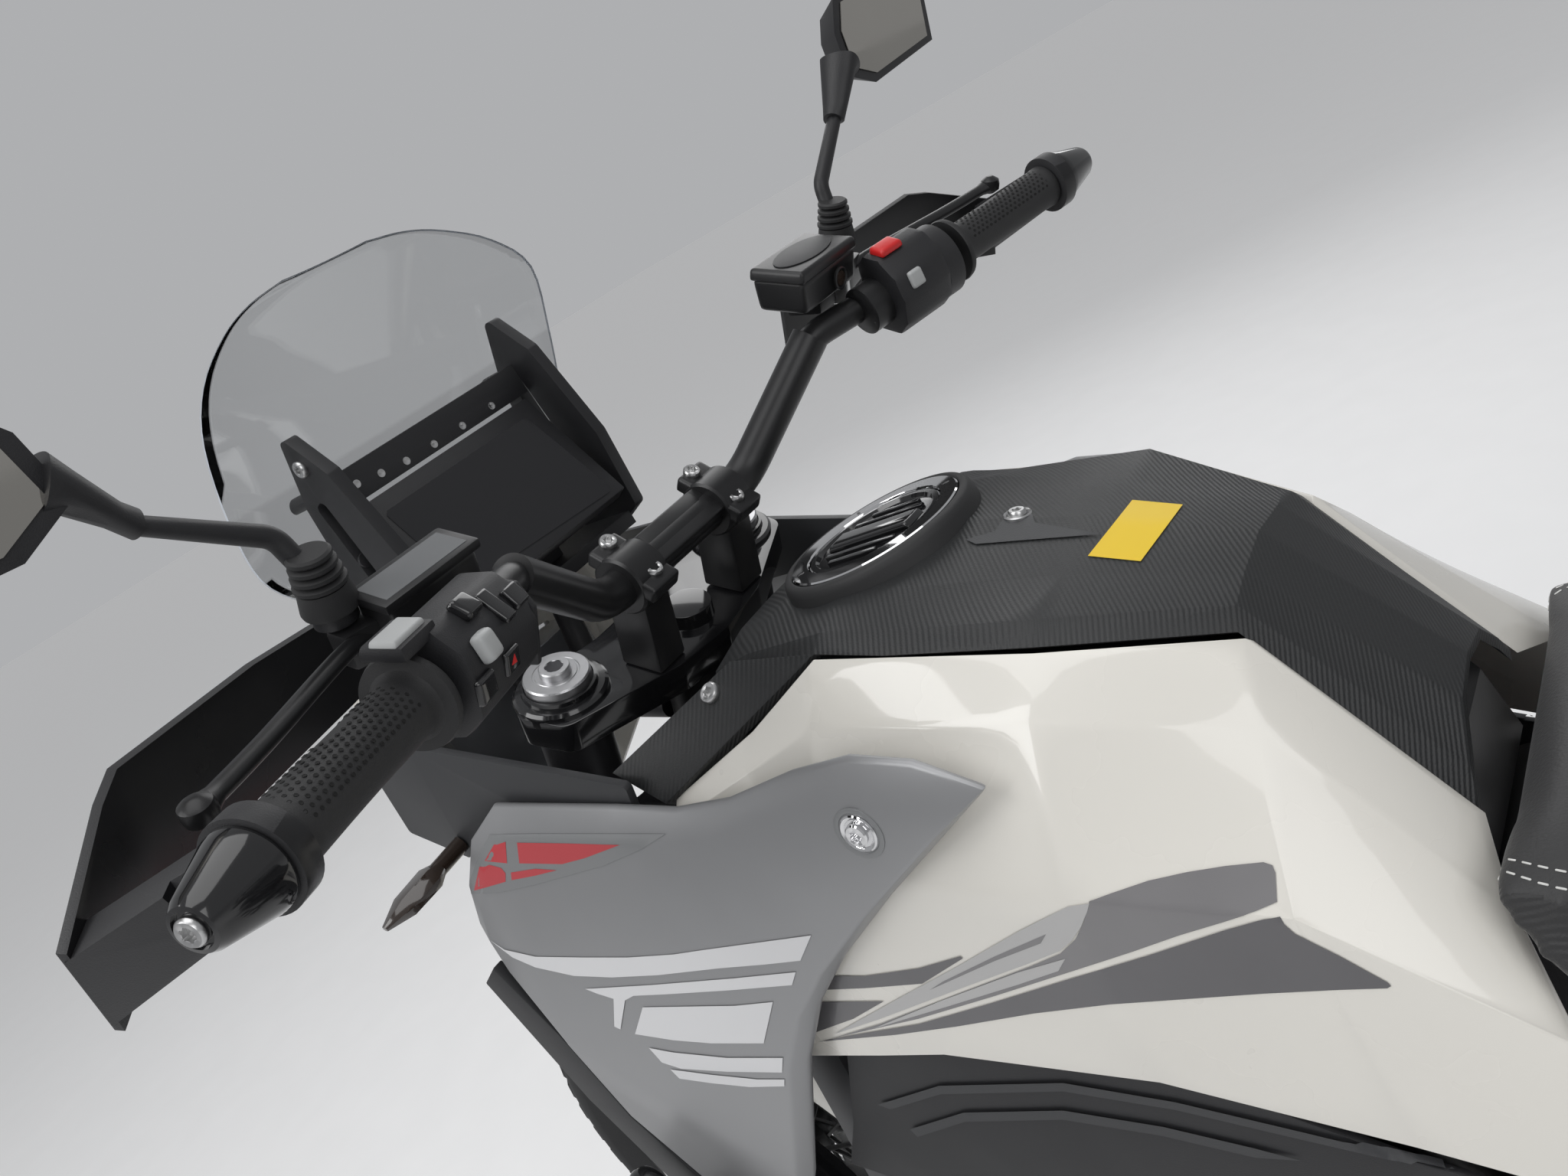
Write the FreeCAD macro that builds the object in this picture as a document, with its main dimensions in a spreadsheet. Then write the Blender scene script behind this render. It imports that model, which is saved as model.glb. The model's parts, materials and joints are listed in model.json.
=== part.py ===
import FreeCAD, Part
import math
import os
import re
import Sketcher
from FreeCAD import Placement, Rotation, Vector

# Adventure motorcycle, middle class, on its centre stand.
# Millimetres. X forward, Y to the rider's left, Z up.
# Frame pieces are drawn from the nominal rear axle line (x) and the floor (z).
# Steering pieces are drawn in the steering head's own frame: x ahead of the
# steering axis, z up along it, zero at the level of the fork caps.

# Driving sizes: alias, value, meaning
SIZES = (
    ("pivot_x", 535.0, "swingarm pivot ahead of the rear axle"),
    ("pivot_z", 400.0, "swingarm pivot above the floor"),
    ("swingarm_length", 538.0, "pivot to rear axle"),
    ("swingarm_drop", 59.0, "rear axle below the pivot, suspension hanging"),
    ("head_x", 1137.7, "steering axis at the level of the fork caps"),
    ("head_z", 1020.8, "the same point above the floor"),
    ("rake", 25.35, "steering axis from the vertical, degrees"),
    ("fork_offset", 35.7, "fork legs ahead of the steering axis"),
    ("fork_spacing", 108.0, "fork leg from the middle plane"),
    ("fork_tube_radius", 26.5, "upper fork tube"),
    ("fork_slider_radius", 21.5, "lower fork tube"),
    ("fork_tube_length", 420.0, "upper fork tube below its cap"),
    ("fork_cap_radius", 24.0, "silver cap of a fork leg"),
    ("rear_overhang", 396.0, "plate holder behind the nominal rear axle"),
    ("front_tyre_height", 87.7, "110/80-19 tyre, tread to rim"),
    ("front_tyre_width", 110.0, "110/80-19 tyre"),
    ("front_bead_radius", 241.3, "19 inch rim"),
    ("front_rim_width", 82.0, "across the rim flanges"),
    ("rear_tyre_height", 105.1, "150/70-17 tyre, tread to rim"),
    ("rear_tyre_width", 150.0, "150/70-17 tyre"),
    ("rear_bead_radius", 215.9, "17 inch rim"),
    ("rear_rim_width", 124.0, "across the rim flanges"),
    ("axle_radius", 10.0, "both wheel axles"),
    ("axle_clearance", 0.4, "hub bore over the axle"),
    ("spoke_thickness", 3.6, "wire spoke"),
    ("front_disc_radius", 160.0, "front brake disc"),
    ("front_disc_plane", 68.0, "front brake disc from the middle plane"),
    ("rear_disc_radius", 130.0, "rear brake disc"),
    ("rear_disc_plane", 90.0, "rear brake disc to the right"),
    ("disc_thickness", 5.0, "brake disc"),
    ("disc_gap", 5.0, "caliper beside a disc"),
    ("chain_plane", 92.0, "chain from the middle plane"),
    ("chain_pitch", 15.875, "roller chain"),
    ("chain_links", 108.0, "links in the chain"),
    ("chain_width", 18.0, "across the chain"),
    ("chain_plate_half", 7.5, "half height of a link plate"),
    ("front_teeth", 15.0, "engine sprocket"),
    ("rear_teeth", 44.0, "rear sprocket"),
    ("sprocket_thickness", 7.0, "rear sprocket"),
    ("arm_inner", 107.0, "swingarm arm from the middle plane"),
    ("arm_width", 26.0, "across a swingarm arm"),
    ("pivot_plate_thickness", 12.0, "frame plate at the swingarm pivot"),
    ("main_tube_radius", 17.0, "main frame tube"),
    ("sub_tube_radius", 11.0, "subframe tube"),
    ("head_tube_radius", 30.0, "steering head tube"),
    ("head_tube_length", 128.0, "steering head tube"),
    ("bar_middle_radius", 14.2, "tapered handlebar at its clamps"),
    ("bar_end_radius", 11.0, "handlebar under the grips"),
    ("bar_half_width", 420.0, "handlebar end from the middle plane"),
    ("grip_radius", 17.0, "rubber grip"),
    ("grip_length", 112.0, "rubber grip"),
    ("bar_weight_length", 34.0, "bar end weight"),
    ("guard_collar", 12.0, "handguard clamp between grip and bar end weight"),
    ("display_width", 182.0, "instrument display"),
    ("display_height", 114.0, "instrument display"),
    ("display_depth", 16.0, "instrument display"),
    ("screen_thickness", 4.0, "windscreen"),
    ("panel_thickness", 5.0, "moulded body panel"),
    ("cap_radius", 47.0, "fuel cap lid"),
    ("cap_ring_radius", 60.0, "chrome ring of the filler"),
    ("cap_gap", 0.5, "around the fuel cap lid"),
    ("stand_pivot_x", 470.0, "centre stand pivot"),
    ("stand_pivot_z", 258.0, "centre stand pivot above the floor"),
    ("stand_lead", 30.0, "centre stand foot ahead of its pivot"),
    ("stand_tube_radius", 14.0, "centre stand leg"),
    ("crash_bar_radius", 12.5, "crash bar tube"),
    ("silencer_radius", 52.0, "exhaust silencer"),
    ("header_radius", 19.0, "exhaust header pipe"),
    ("radiator_half_width", 130.0, "radiator"),
    ("radiator_height", 280.0, "radiator"),
    ("radiator_depth", 34.0, "radiator"),
    ("crank_half_width", 135.0, "crankcase"),
    ("plate_width", 200.0, "blank number plate"),
    ("rack_hole_radius", 3.3, "M6 hole in the luggage rack"),
    ("rack_spacing_x", 116.0, "rack holes along the bike"),
    ("rack_spacing_y", 46.0, "rack holes across the bike"),
)

doc = FreeCAD.newDocument("adventure_motorcycle")
sheet = doc.addObject("Spreadsheet::Sheet", "Sizes")
for row, (alias, value, meaning) in enumerate(SIZES, 1):
    sheet.set("A%d" % row, meaning)
    sheet.set("B%d" % row, str(value))
    sheet.setAlias("B%d" % row, alias)
doc.recompute()


class Size:
    """The sheet's values by alias."""

    def __getattr__(self, alias):
        return float(sheet.get(alias))


size = Size()
ALIASES = [alias for alias, value, meaning in SIZES]
X_AXIS, Y_AXIS, Z_AXIS = Vector(1, 0, 0), Vector(0, 1, 0), Vector(0, 0, 1)
ORIGIN = Vector(0, 0, 0)
PIECES = []


# Anchors that the pieces share
def steering_point(ahead, side, up):
    """A point of the steering head's frame in the bike's frame."""
    return HEAD_FRAME.multVec(Vector(ahead, side, up))


HEAD = Vector(size.head_x, 0, size.head_z)
HEAD_FRAME = Placement(HEAD, Rotation(Y_AXIS, -size.rake))
FRONT_RADIUS = size.front_bead_radius + size.front_tyre_height
REAR_RADIUS = size.rear_bead_radius + size.rear_tyre_height
# The fork is as long as it takes to stand the front wheel on the floor
FORK_LENGTH = ((size.head_z + size.fork_offset * math.sin(math.radians(size.rake)) - FRONT_RADIUS)
               / math.cos(math.radians(size.rake)))
FRONT_AXLE = steering_point(size.fork_offset, 0, -FORK_LENGTH)
COCKPIT = Placement(HEAD + Vector(2.3, 0, -20.8), Rotation())
PIVOT = Vector(size.pivot_x, 0, size.pivot_z)
REAR_AXLE = PIVOT + Vector(-math.sqrt(size.swingarm_length ** 2 - size.swingarm_drop ** 2), 0,
                           -size.swingarm_drop)
FRONT_X = FRONT_AXLE.x + FRONT_RADIUS
TO_ROW = Placement(Vector((size.rear_overhang - FRONT_X) / 2, 0, 0), Rotation())


def sized(expression):
    """An expression on the sheet's cells from one on their aliases."""
    return re.sub(r"[a-z_]+", lambda m: "Sizes." + m.group() if m.group() in ALIASES else m.group(),
                  expression)


def set_size(obj, name, value):
    if isinstance(value, str):
        obj.setExpression(name, sized(value))
    else:
        setattr(obj, name, value)


def piece(obj, label, placement=Placement()):
    """Name a finished sub-part and stand it in the row's frame."""
    obj.Label = label
    obj.Placement = TO_ROW.multiply(placement)
    PIECES.append(obj)
    return obj


def feature(name, shape, placement=Placement()):
    obj = doc.addObject("Part::Feature", name)
    obj.Shape = shape
    return piece(obj, name, placement)


def cylinder(name, radius, height, base, axis=Z_AXIS):
    obj = doc.addObject("Part::Cylinder", name)
    set_size(obj, "Radius", radius)
    set_size(obj, "Height", height)
    obj.Placement = Placement(base, Rotation(Z_AXIS, axis))
    return obj


def cone(name, radius_1, radius_2, height, base, axis=Z_AXIS):
    obj = doc.addObject("Part::Cone", name)
    set_size(obj, "Radius1", radius_1)
    set_size(obj, "Radius2", radius_2)
    set_size(obj, "Height", height)
    obj.Placement = Placement(base, Rotation(Z_AXIS, axis))
    return obj


def box(name, length, width, height, centre, rotation=Rotation()):
    obj = doc.addObject("Part::Box", name)
    set_size(obj, "Length", length)
    set_size(obj, "Width", width)
    set_size(obj, "Height", height)
    obj.recompute()
    corner = Vector(obj.Length.Value, obj.Width.Value, obj.Height.Value) * -0.5
    obj.Placement = Placement(centre, rotation).multiply(Placement(corner, Rotation()))
    return obj


def joined(name, parts):
    obj = doc.addObject("Part::MultiFuse", name)
    obj.Shapes = parts
    return obj


def cut(name, base, tool):
    obj = doc.addObject("Part::Cut", name)
    obj.Base = base
    obj.Tool = tool
    return obj


def solid_object(name, shape):
    """A shape that another feature uses."""
    obj = doc.addObject("Part::Feature", name)
    obj.Shape = shape
    return obj


def plane_of(body, role):
    return [plane for plane in body.Origin.OriginFeatures if plane.Role == role][0]


def new_sketch(body, name, role):
    sketch = body.newObject("Sketcher::SketchObject", name)
    sketch.AttachmentSupport = [(plane_of(body, role), "")]
    sketch.MapMode = "FlatFace"
    return sketch


def add_circle(sketch, radius, centre=(0, 0)):
    """A circle whose radius is bound to the sheet."""
    index = sketch.addGeometry(Part.Circle(Vector(centre[0], centre[1], 0), Z_AXIS, 10.0), False)
    if centre == (0, 0):
        sketch.addConstraint(Sketcher.Constraint("Coincident", index, 3, -1, 1))
    constraint = sketch.addConstraint(Sketcher.Constraint("Radius", index, 10.0))
    sketch.setExpression("Constraints[%d]" % constraint, sized(radius))


def add_outline(sketch, points):
    for start, end in zip(points, points[1:] + points[:1]):
        sketch.addGeometry(Part.LineSegment(Vector(*start, 0), Vector(*end, 0)), False)


def revolved(name, points):
    """A ring about the Y axis. Points are radius and place along the axis."""
    body = doc.addObject("PartDesign::Body", name)
    sketch = new_sketch(body, name + "_profile", "XY_Plane")
    add_outline(sketch, points)
    turn = body.newObject("PartDesign::Revolution", name + "_turn")
    turn.Profile = sketch
    turn.ReferenceAxis = (sketch, ["V_Axis"])
    turn.Angle = 360
    return body


def padded(body, sketch, name, length):
    pad = body.newObject("PartDesign::Pad", name)
    pad.Profile = sketch
    pad.SideType = "Symmetric"
    set_size(pad, "Length", length)
    return pad


def rounded_edges(points, radius, closed):
    """Straight runs joined by tangent arcs, as large as the runs allow."""
    count = len(points)
    inner = range(count) if closed else range(1, count - 1)
    starts, ends, arcs = list(points), list(points), {}
    for i in inner:
        corner, before, after = points[i], points[i - 1], points[(i + 1) % count]
        back, ahead = before - corner, after - corner
        half = back.getAngle(ahead) / 2
        if half > math.radians(89.5):
            continue
        room = 0.48 * min(back.Length, ahead.Length)
        reach = min(radius / math.tan(half), room)
        true_radius = reach * math.tan(half)
        back.normalize()
        ahead.normalize()
        middle = (back + ahead).normalize() * (true_radius / math.sin(half) - true_radius)
        ends[i] = corner + back * reach
        starts[i] = corner + ahead * reach
        arcs[i] = Part.Arc(ends[i], corner + middle, starts[i]).toShape()
    edges = []
    for i in range(count if closed else count - 1):
        after = (i + 1) % count
        edges.append(Part.LineSegment(starts[i], ends[after]).toShape())
        if after in arcs:
            edges.append(arcs[after])
    return edges


def pipe(points, radius, bend):
    """A round tube bar along straight runs and tangent arcs."""
    path = Part.Wire(rounded_edges(points, bend, False))
    section = Part.Wire(Part.makeCircle(radius, points[0], points[1] - points[0]))
    return path.makePipeShell([section], True, False)


def plate(outline, side_1, side_2, corner=0.0):
    """An outline of x and z pairs, as thick as from side_1 to side_2 along Y."""
    points = [Vector(x, side_1, z) for x, z in outline]
    if corner > 0:
        wire = Part.Wire(rounded_edges(points, corner, True))
    else:
        wire = Part.makePolygon(points + points[:1])
    return Part.Face(wire).extrude(Vector(0, side_2 - side_1, 0))


def loft(sections):
    """A ruled solid through closed sections of as many points each."""
    wires = [Part.makePolygon(section + section[:1]) for section in sections]
    return Part.makeLoft(wires, True, True)


def mirrored(shape):
    return shape.mirror(ORIGIN, Y_AXIS)


def both_sides(shape):
    return Part.makeCompound([shape, mirrored(shape)])


def fused(shapes):
    return shapes[0].multiFuse(shapes[1:]).removeSplitter()


def rod(start, end, radius):
    return Part.makeCylinder(radius, (end - start).Length, start, end - start)


def sector(inner, outer, side_1, side_2, start, end):
    """Part of a ring about the Y axis, angles in degrees from ahead towards up."""
    def point(radius, angle):
        return Vector(radius * math.cos(math.radians(angle)), side_1,
                      radius * math.sin(math.radians(angle)))
    middle = (start + end) / 2
    edges = [Part.Arc(point(outer, start), point(outer, middle), point(outer, end)).toShape(),
             Part.LineSegment(point(outer, end), point(inner, end)).toShape(),
             Part.Arc(point(inner, end), point(inner, middle), point(inner, start)).toShape(),
             Part.LineSegment(point(inner, start), point(outer, start)).toShape()]
    return Part.Face(Part.Wire(edges)).extrude(Vector(0, side_2 - side_1, 0))


# Wheels
TYRE_FACES = 72


def tyre_profile(radius, half_width, bead, half_rim):
    """Radius and side of a tyre's wall: crown, shoulder, sidewall, bead."""
    section = radius - bead
    seat = bead / math.cos(math.pi / TYRE_FACES) + 0.2
    outer = [(radius, 0.22 * half_width), (radius - 0.10 * section, 0.70 * half_width),
             (radius - 0.48 * section, half_width), (bead + 11, half_rim), (seat, half_rim)]
    inner = [(seat, half_rim - 13), (radius - 0.15 * section, 0.62 * half_width)]
    right = [(r, -side) for r, side in outer]
    right_inner = [(r, -side) for r, side in inner]
    return outer + inner + right_inner[::-1] + right[::-1]


def tyre(name, axle, profile):
    """A ring of flat-sided wedges, light to mesh, that stands on a corner."""
    wires = []
    for face in range(TYRE_FACES):
        turn = Rotation(Y_AXIS, 360.0 * face / TYRE_FACES)
        ring = [turn.multVec(Vector(radius, side, 0)) for radius, side in profile]
        wires.append(Part.makePolygon(ring + ring[:1]))
    feature(name, Part.makeLoft(wires, True, True, True), Placement(axle, Rotation()))


def rim_profile(bead, half_rim):
    """Flanges, bead seats and the well between them."""
    flange, wall, well = bead + 9, 5.0, bead - 15
    outer = [(flange, half_rim), (flange, half_rim - wall), (bead, half_rim - wall),
             (bead, half_rim - 21), (well, half_rim - 27)]
    inner = [(bead - 5, half_rim), (bead - 5, half_rim - 18), (well - 5, half_rim - 25)]
    right_outer = [(r, -side) for r, side in outer]
    right_inner = [(r, -side) for r, side in inner]
    return outer + right_outer[::-1] + right_inner + inner[::-1]


def spokes(count, hub_radius, hub_side, rim_radius, rim_side):
    """Crossed wire spokes from two hub flanges to the rim's well."""
    half = size.spoke_thickness / 2
    bars = []
    for i in range(count):
        side = 1 if i % 2 == 0 else -1
        lean = 38 if i % 4 < 2 else -38
        at_rim = math.radians(i * 360 / count)
        at_hub = at_rim + math.radians(lean)
        start = Vector(hub_radius * math.cos(at_hub), side * hub_side, hub_radius * math.sin(at_hub))
        end = Vector(rim_radius * math.cos(at_rim), side * rim_side, rim_radius * math.sin(at_rim))
        along = end - start
        across = along.cross(Y_AXIS).normalize() * half
        other = along.cross(across).normalize() * half
        corners = [start + across + other, start + across - other,
                   start - across - other, start - across + other]
        face = Part.Face(Part.makePolygon(corners + corners[:1]))
        bars.append(face.extrude(along))
    return bars


def wire_wheel(name, bead, half_rim, hub, spoke_count, flange_radius, flange_side):
    """Rim, hub and spokes as one wheel."""
    rim = revolved(name + "_rim", rim_profile(bead, half_rim))
    barrel = revolved(name + "_hub", hub)
    wires = solid_object(name + "_spokes", Part.makeCompound(
        spokes(spoke_count, flange_radius, flange_side, bead - 17, 9.0)))
    return joined(name, [rim, barrel, wires])


def make_front_wheel():
    bore = size.axle_radius + size.axle_clearance
    half_rim = size.front_rim_width / 2
    face = size.front_disc_plane - size.disc_thickness / 2
    hub = [(bore, -face), (38, -face), (38, -face + 8), (24, -face + 14), (24, -34), (36, -32),
           (36, -26), (22, -22), (22, 22), (36, 26), (36, 32), (24, 34), (24, face - 14),
           (38, face - 8), (38, face), (bore, face)]
    tyre("front_tyre", FRONT_AXLE, tyre_profile(FRONT_RADIUS, size.front_tyre_width / 2,
                                                size.front_bead_radius, half_rim - 5.2))
    wheel = wire_wheel("front_wheel", size.front_bead_radius, half_rim, hub, 32, 33.0, 29.0)
    piece(wheel, "front_wheel", Placement(FRONT_AXLE, Rotation()))


def brake_disc(name, radius, hub_radius, windows):
    """A disc on a carrier with open windows."""
    body = doc.addObject("PartDesign::Body", name)
    sketch = new_sketch(body, name + "_outline", "XZ_Plane")
    add_circle(sketch, radius)
    add_circle(sketch, "axle_radius + 16")
    padded(body, sketch, name + "_pad", "disc_thickness")
    doc.recompute()
    opening = new_sketch(body, name + "_window", "XZ_Plane")
    outer = size.front_disc_radius if name == "front_disc" else size.rear_disc_radius
    add_outline(opening, [(hub_radius, -8), (outer - 48, -24), (outer - 48, 24), (hub_radius, 8)])
    pocket = body.newObject("PartDesign::Pocket", name + "_pocket")
    pocket.Profile = opening
    pocket.Type = "ThroughAll"
    pocket.SideType = "Symmetric"
    pattern = body.newObject("PartDesign::PolarPattern", name + "_pattern")
    pattern.Originals = [pocket]
    pattern.Axis = (opening, ["N_Axis"])
    pattern.Angle = 360
    pattern.Occurrences = windows
    body.Tip = pattern
    return body


def make_front_discs():
    left = brake_disc("front_disc", "front_disc_radius", 52.0, 6)
    left.Placement = Placement(Vector(0, size.front_disc_plane, 0), Rotation())
    right = doc.addObject("Part::Mirroring", "front_disc_right")
    right.Source = left
    right.Normal = Y_AXIS
    pair = doc.addObject("Part::Compound", "front_discs")
    pair.Links = [left, right]
    piece(pair, "front_discs", Placement(FRONT_AXLE, Rotation()))


def make_rear_wheel():
    bore = size.axle_radius + size.axle_clearance
    half_rim = size.rear_rim_width / 2
    left = size.chain_plane - size.sprocket_thickness / 2
    right = -size.rear_disc_plane + size.disc_thickness / 2
    hub = [(bore, right), (38, right), (38, right + 8), (26, right + 14), (26, -36), (40, -34),
           (40, -26), (26, -22), (26, 22), (40, 26), (40, 34), (58, 40), (58, left), (bore, left)]
    tyre("rear_tyre", REAR_AXLE, tyre_profile(REAR_RADIUS, size.rear_tyre_width / 2,
                                              size.rear_bead_radius, half_rim - 5.2))
    wheel = wire_wheel("rear_wheel", size.rear_bead_radius, half_rim, hub, 32, 37.0, 29.0)
    piece(wheel, "rear_wheel", Placement(REAR_AXLE, Rotation()))
    disc = brake_disc("rear_disc", "rear_disc_radius", 48.0, 5)
    piece(disc, "rear_disc", Placement(REAR_AXLE - Y_AXIS * size.rear_disc_plane, Rotation()))


def sprocket_radius(teeth):
    return size.chain_pitch / (2 * math.sin(math.pi / teeth))


def make_rear_sprocket():
    """Teeth reach just under the chain's plates, lightened by round windows."""
    tip = sprocket_radius(size.rear_teeth) - size.chain_plate_half - 0.7
    root = tip - 6.0
    teeth = int(size.rear_teeth)
    points = []
    for tooth in range(teeth):
        for share, radius in ((-0.18, tip), (0.18, tip), (0.32, root), (0.68, root)):
            angle = 2 * math.pi * (tooth + share) / teeth
            points.append((radius * math.cos(angle), radius * math.sin(angle)))
    body = doc.addObject("PartDesign::Body", "rear_sprocket")
    sketch = new_sketch(body, "sprocket_outline", "XZ_Plane")
    add_outline(sketch, points)
    add_circle(sketch, "axle_radius + 16")
    padded(body, sketch, "sprocket_pad", "sprocket_thickness")
    doc.recompute()
    opening = new_sketch(body, "sprocket_window", "XZ_Plane")
    opening.addGeometry(Part.Circle(Vector(76, 0, 0), Z_AXIS, 11.0), False)
    pocket = body.newObject("PartDesign::Pocket", "sprocket_pocket")
    pocket.Profile = opening
    pocket.Type = "ThroughAll"
    pocket.SideType = "Symmetric"
    pattern = body.newObject("PartDesign::PolarPattern", "sprocket_pattern")
    pattern.Originals = [pocket]
    pattern.Axis = (opening, ["N_Axis"])
    pattern.Angle = 360
    pattern.Occurrences = 6
    body.Tip = pattern
    piece(body, "rear_sprocket", Placement(REAR_AXLE + Y_AXIS * size.chain_plane, Rotation()))


def chain_centres():
    """The engine sprocket's centre, from the chain's length and the rear axle."""
    big, small = sprocket_radius(size.rear_teeth), sprocket_radius(size.front_teeth)
    length = size.chain_links * size.chain_pitch
    distance = size.swingarm_length
    for step in range(40):
        lean = math.asin((big - small) / distance)
        around = big * (math.pi + 2 * lean) + small * (math.pi - 2 * lean)
        distance = (length - around) / (2 * math.cos(lean))
    direction = math.atan2(PIVOT.z - REAR_AXLE.z, PIVOT.x - REAR_AXLE.x)
    centre = REAR_AXLE + Vector(math.cos(direction), 0, math.sin(direction)) * distance
    return centre, distance, direction, lean


def chain_path(station):
    """Place and outward normal at a distance along the closed chain."""
    big, small = sprocket_radius(size.rear_teeth), sprocket_radius(size.front_teeth)
    front, distance, direction, lean = chain_centres()
    run = distance * math.cos(lean)
    rear_arc = big * (math.pi + 2 * lean)
    front_arc = small * (math.pi - 2 * lean)
    top = direction + math.pi / 2 - lean
    bottom = direction - math.pi / 2 + lean
    if station < run:
        normal = Vector(math.cos(top), 0, math.sin(top))
        start = REAR_AXLE + normal * big
        end = front + normal * small
        return start + (end - start) * (station / run), normal
    if station < run + front_arc:
        angle = top - (station - run) / small
        normal = Vector(math.cos(angle), 0, math.sin(angle))
        return front + normal * small, normal
    if station < 2 * run + front_arc:
        normal = Vector(math.cos(bottom), 0, math.sin(bottom))
        start = front + normal * small
        end = REAR_AXLE + normal * big
        return start + (end - start) * ((station - run - front_arc) / run), normal
    angle = bottom - (station - 2 * run - front_arc) / big
    normal = Vector(math.cos(angle), 0, math.sin(angle))
    return REAR_AXLE + normal * big, normal


def make_chain():
    """Link plates, full at each pin and waisted between pins, as one closed loop."""
    waist = 0.7 * size.chain_plate_half
    outer, inner = [], []
    for i in range(2 * int(size.chain_links)):
        place, normal = chain_path(i * size.chain_pitch / 2)
        half = size.chain_plate_half if i % 2 == 0 else waist
        place.y = size.chain_plane - size.chain_width / 2
        outer.append(place + normal * half)
        inner.append(place - normal * half)
    around = Part.Face(Part.makePolygon(outer + outer[:1]))
    within = Part.Face(Part.makePolygon(inner + inner[:1]))
    loop = around.extrude(Y_AXIS * size.chain_width).cut(within.extrude(Y_AXIS * size.chain_width))
    feature("chain", loop)


# Frame
# Tube runs on the left side of the frame
DOWN_TUBE = [steering_point(2, 20, -128), Vector(1092, 62, 812), Vector(1040, 84, 700),
             Vector(1000, 99, 520), Vector(984, 111, 448)]
RAIL = [Vector(660, 126, 690), Vector(520, 104, 742), Vector(230, 98, 772), Vector(-60, 86, 812),
        Vector(-160, 76, 824)]
SIDE_STAND_PIVOT = Vector(548, 172, 290)
STAND_FOLDED = Vector(-0.985, 0.10, 0.02).normalize()
STAND_OUT = Vector(0.25, 0.38, -0.89).normalize()
STAND_AXIS = STAND_FOLDED.cross(STAND_OUT).normalize()
SHOCK_LOW = Vector(PIVOT.x - 138, 0, PIVOT.z + 68)
SHOCK_HIGH = Vector(PIVOT.x - 8, 0, PIVOT.z + 330)


def frame_spar(extra=0.0):
    """The main tube from the head to the pivot plate, on the left."""
    head_end = steering_point(0, 0, -34 - size.head_tube_length)
    end_side = size.arm_inner + size.arm_width + 10
    path = [head_end + Vector(-6, 20, 40), Vector(1060, 92, 826), Vector(760, 122, 744),
            Vector(612, 138, 610), Vector(560, end_side, 500)]
    return pipe(path, size.main_tube_radius + extra, 90)


def make_frame():
    radius = size.main_tube_radius
    head_top = steering_point(0, 0, -34)
    head_end = steering_point(0, 0, -34 - size.head_tube_length)
    plate_side = size.arm_inner + size.arm_width + 4
    plate_outer = plate_side + size.pivot_plate_thickness
    head = rod(head_top, head_end, size.head_tube_radius)
    bore = rod(head_top, head_end, size.head_tube_radius - 12)
    engine_side = size.crank_half_width - 30
    mount = plate([(912, 442), (958, 452), (1000, 470), (992, 440), (975, 402), (915, 380)],
                  engine_side, engine_side + 12)
    brace = [Vector(1046, 84, 716), Vector(925, 107, 788)]
    pivot_plate = plate([(515, 520), (590, 505), (600, 420), (588, 330), (574, 270), (506, 264),
                         (494, 236), (455, 234), (446, 262), (468, 330), (492, 400), (498, 470)],
                        plate_side, plate_outer, 12.0)
    engine_pin = rod(Vector(614, engine_side, 330), Vector(614, plate_side, 330), 11)
    engine_ear = plate([(598, 316), (598, 344), (580, 350), (580, 310)], plate_side, plate_outer)
    web = plate([(590, 315), (626, 318), (626, 342), (590, 345)], plate_side, plate_outer)
    side = fused([frame_spar(), pipe(DOWN_TUBE, radius - 3, 60), pipe(brace, 12, 20),
                  pivot_plate, mount, engine_pin, engine_ear, web])
    stand_tube = rod(Vector(size.stand_pivot_x, -plate_outer, size.stand_pivot_z),
                     Vector(size.stand_pivot_x, plate_outer, size.stand_pivot_z), 9)
    cross = rod(Vector(575, -plate_side, 490), Vector(575, plate_side, 490), 15)
    stand_base = rod(SIDE_STAND_PIVOT + STAND_AXIS * 12.3, SIDE_STAND_PIVOT + STAND_AXIS * 34, 13)
    stand_pin = rod(SIDE_STAND_PIVOT + STAND_AXIS * 14, SIDE_STAND_PIVOT - STAND_AXIS * 14, 6)
    pin_head = rod(SIDE_STAND_PIVOT - STAND_AXIS * 12.3, SIDE_STAND_PIVOT - STAND_AXIS * 18, 11)
    pins = [stand_tube, stand_base, stand_pin, pin_head]
    frame = fused([head, side, mirrored(side), cross] + pins + subframe()).cut(bore)
    feature("frame", frame)


def subframe():
    radius = size.sub_tube_radius
    plate_side = size.arm_inner + size.arm_width + 4
    stay = [Vector(548, plate_side + 6, 500), Vector(330, 122, 640), Vector(110, 96, 786)]
    side = fused([pipe(RAIL, radius, 120), pipe(stay, radius - 1, 80)])
    crosses = [rod(Vector(x, -half, z), Vector(x, half, z), 8)
               for x, half, z in ((SHOCK_HIGH.x, 104, SHOCK_HIGH.z), (200, 96, 776), (-120, 80, 819))]
    return [side, mirrored(side)] + crosses


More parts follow.
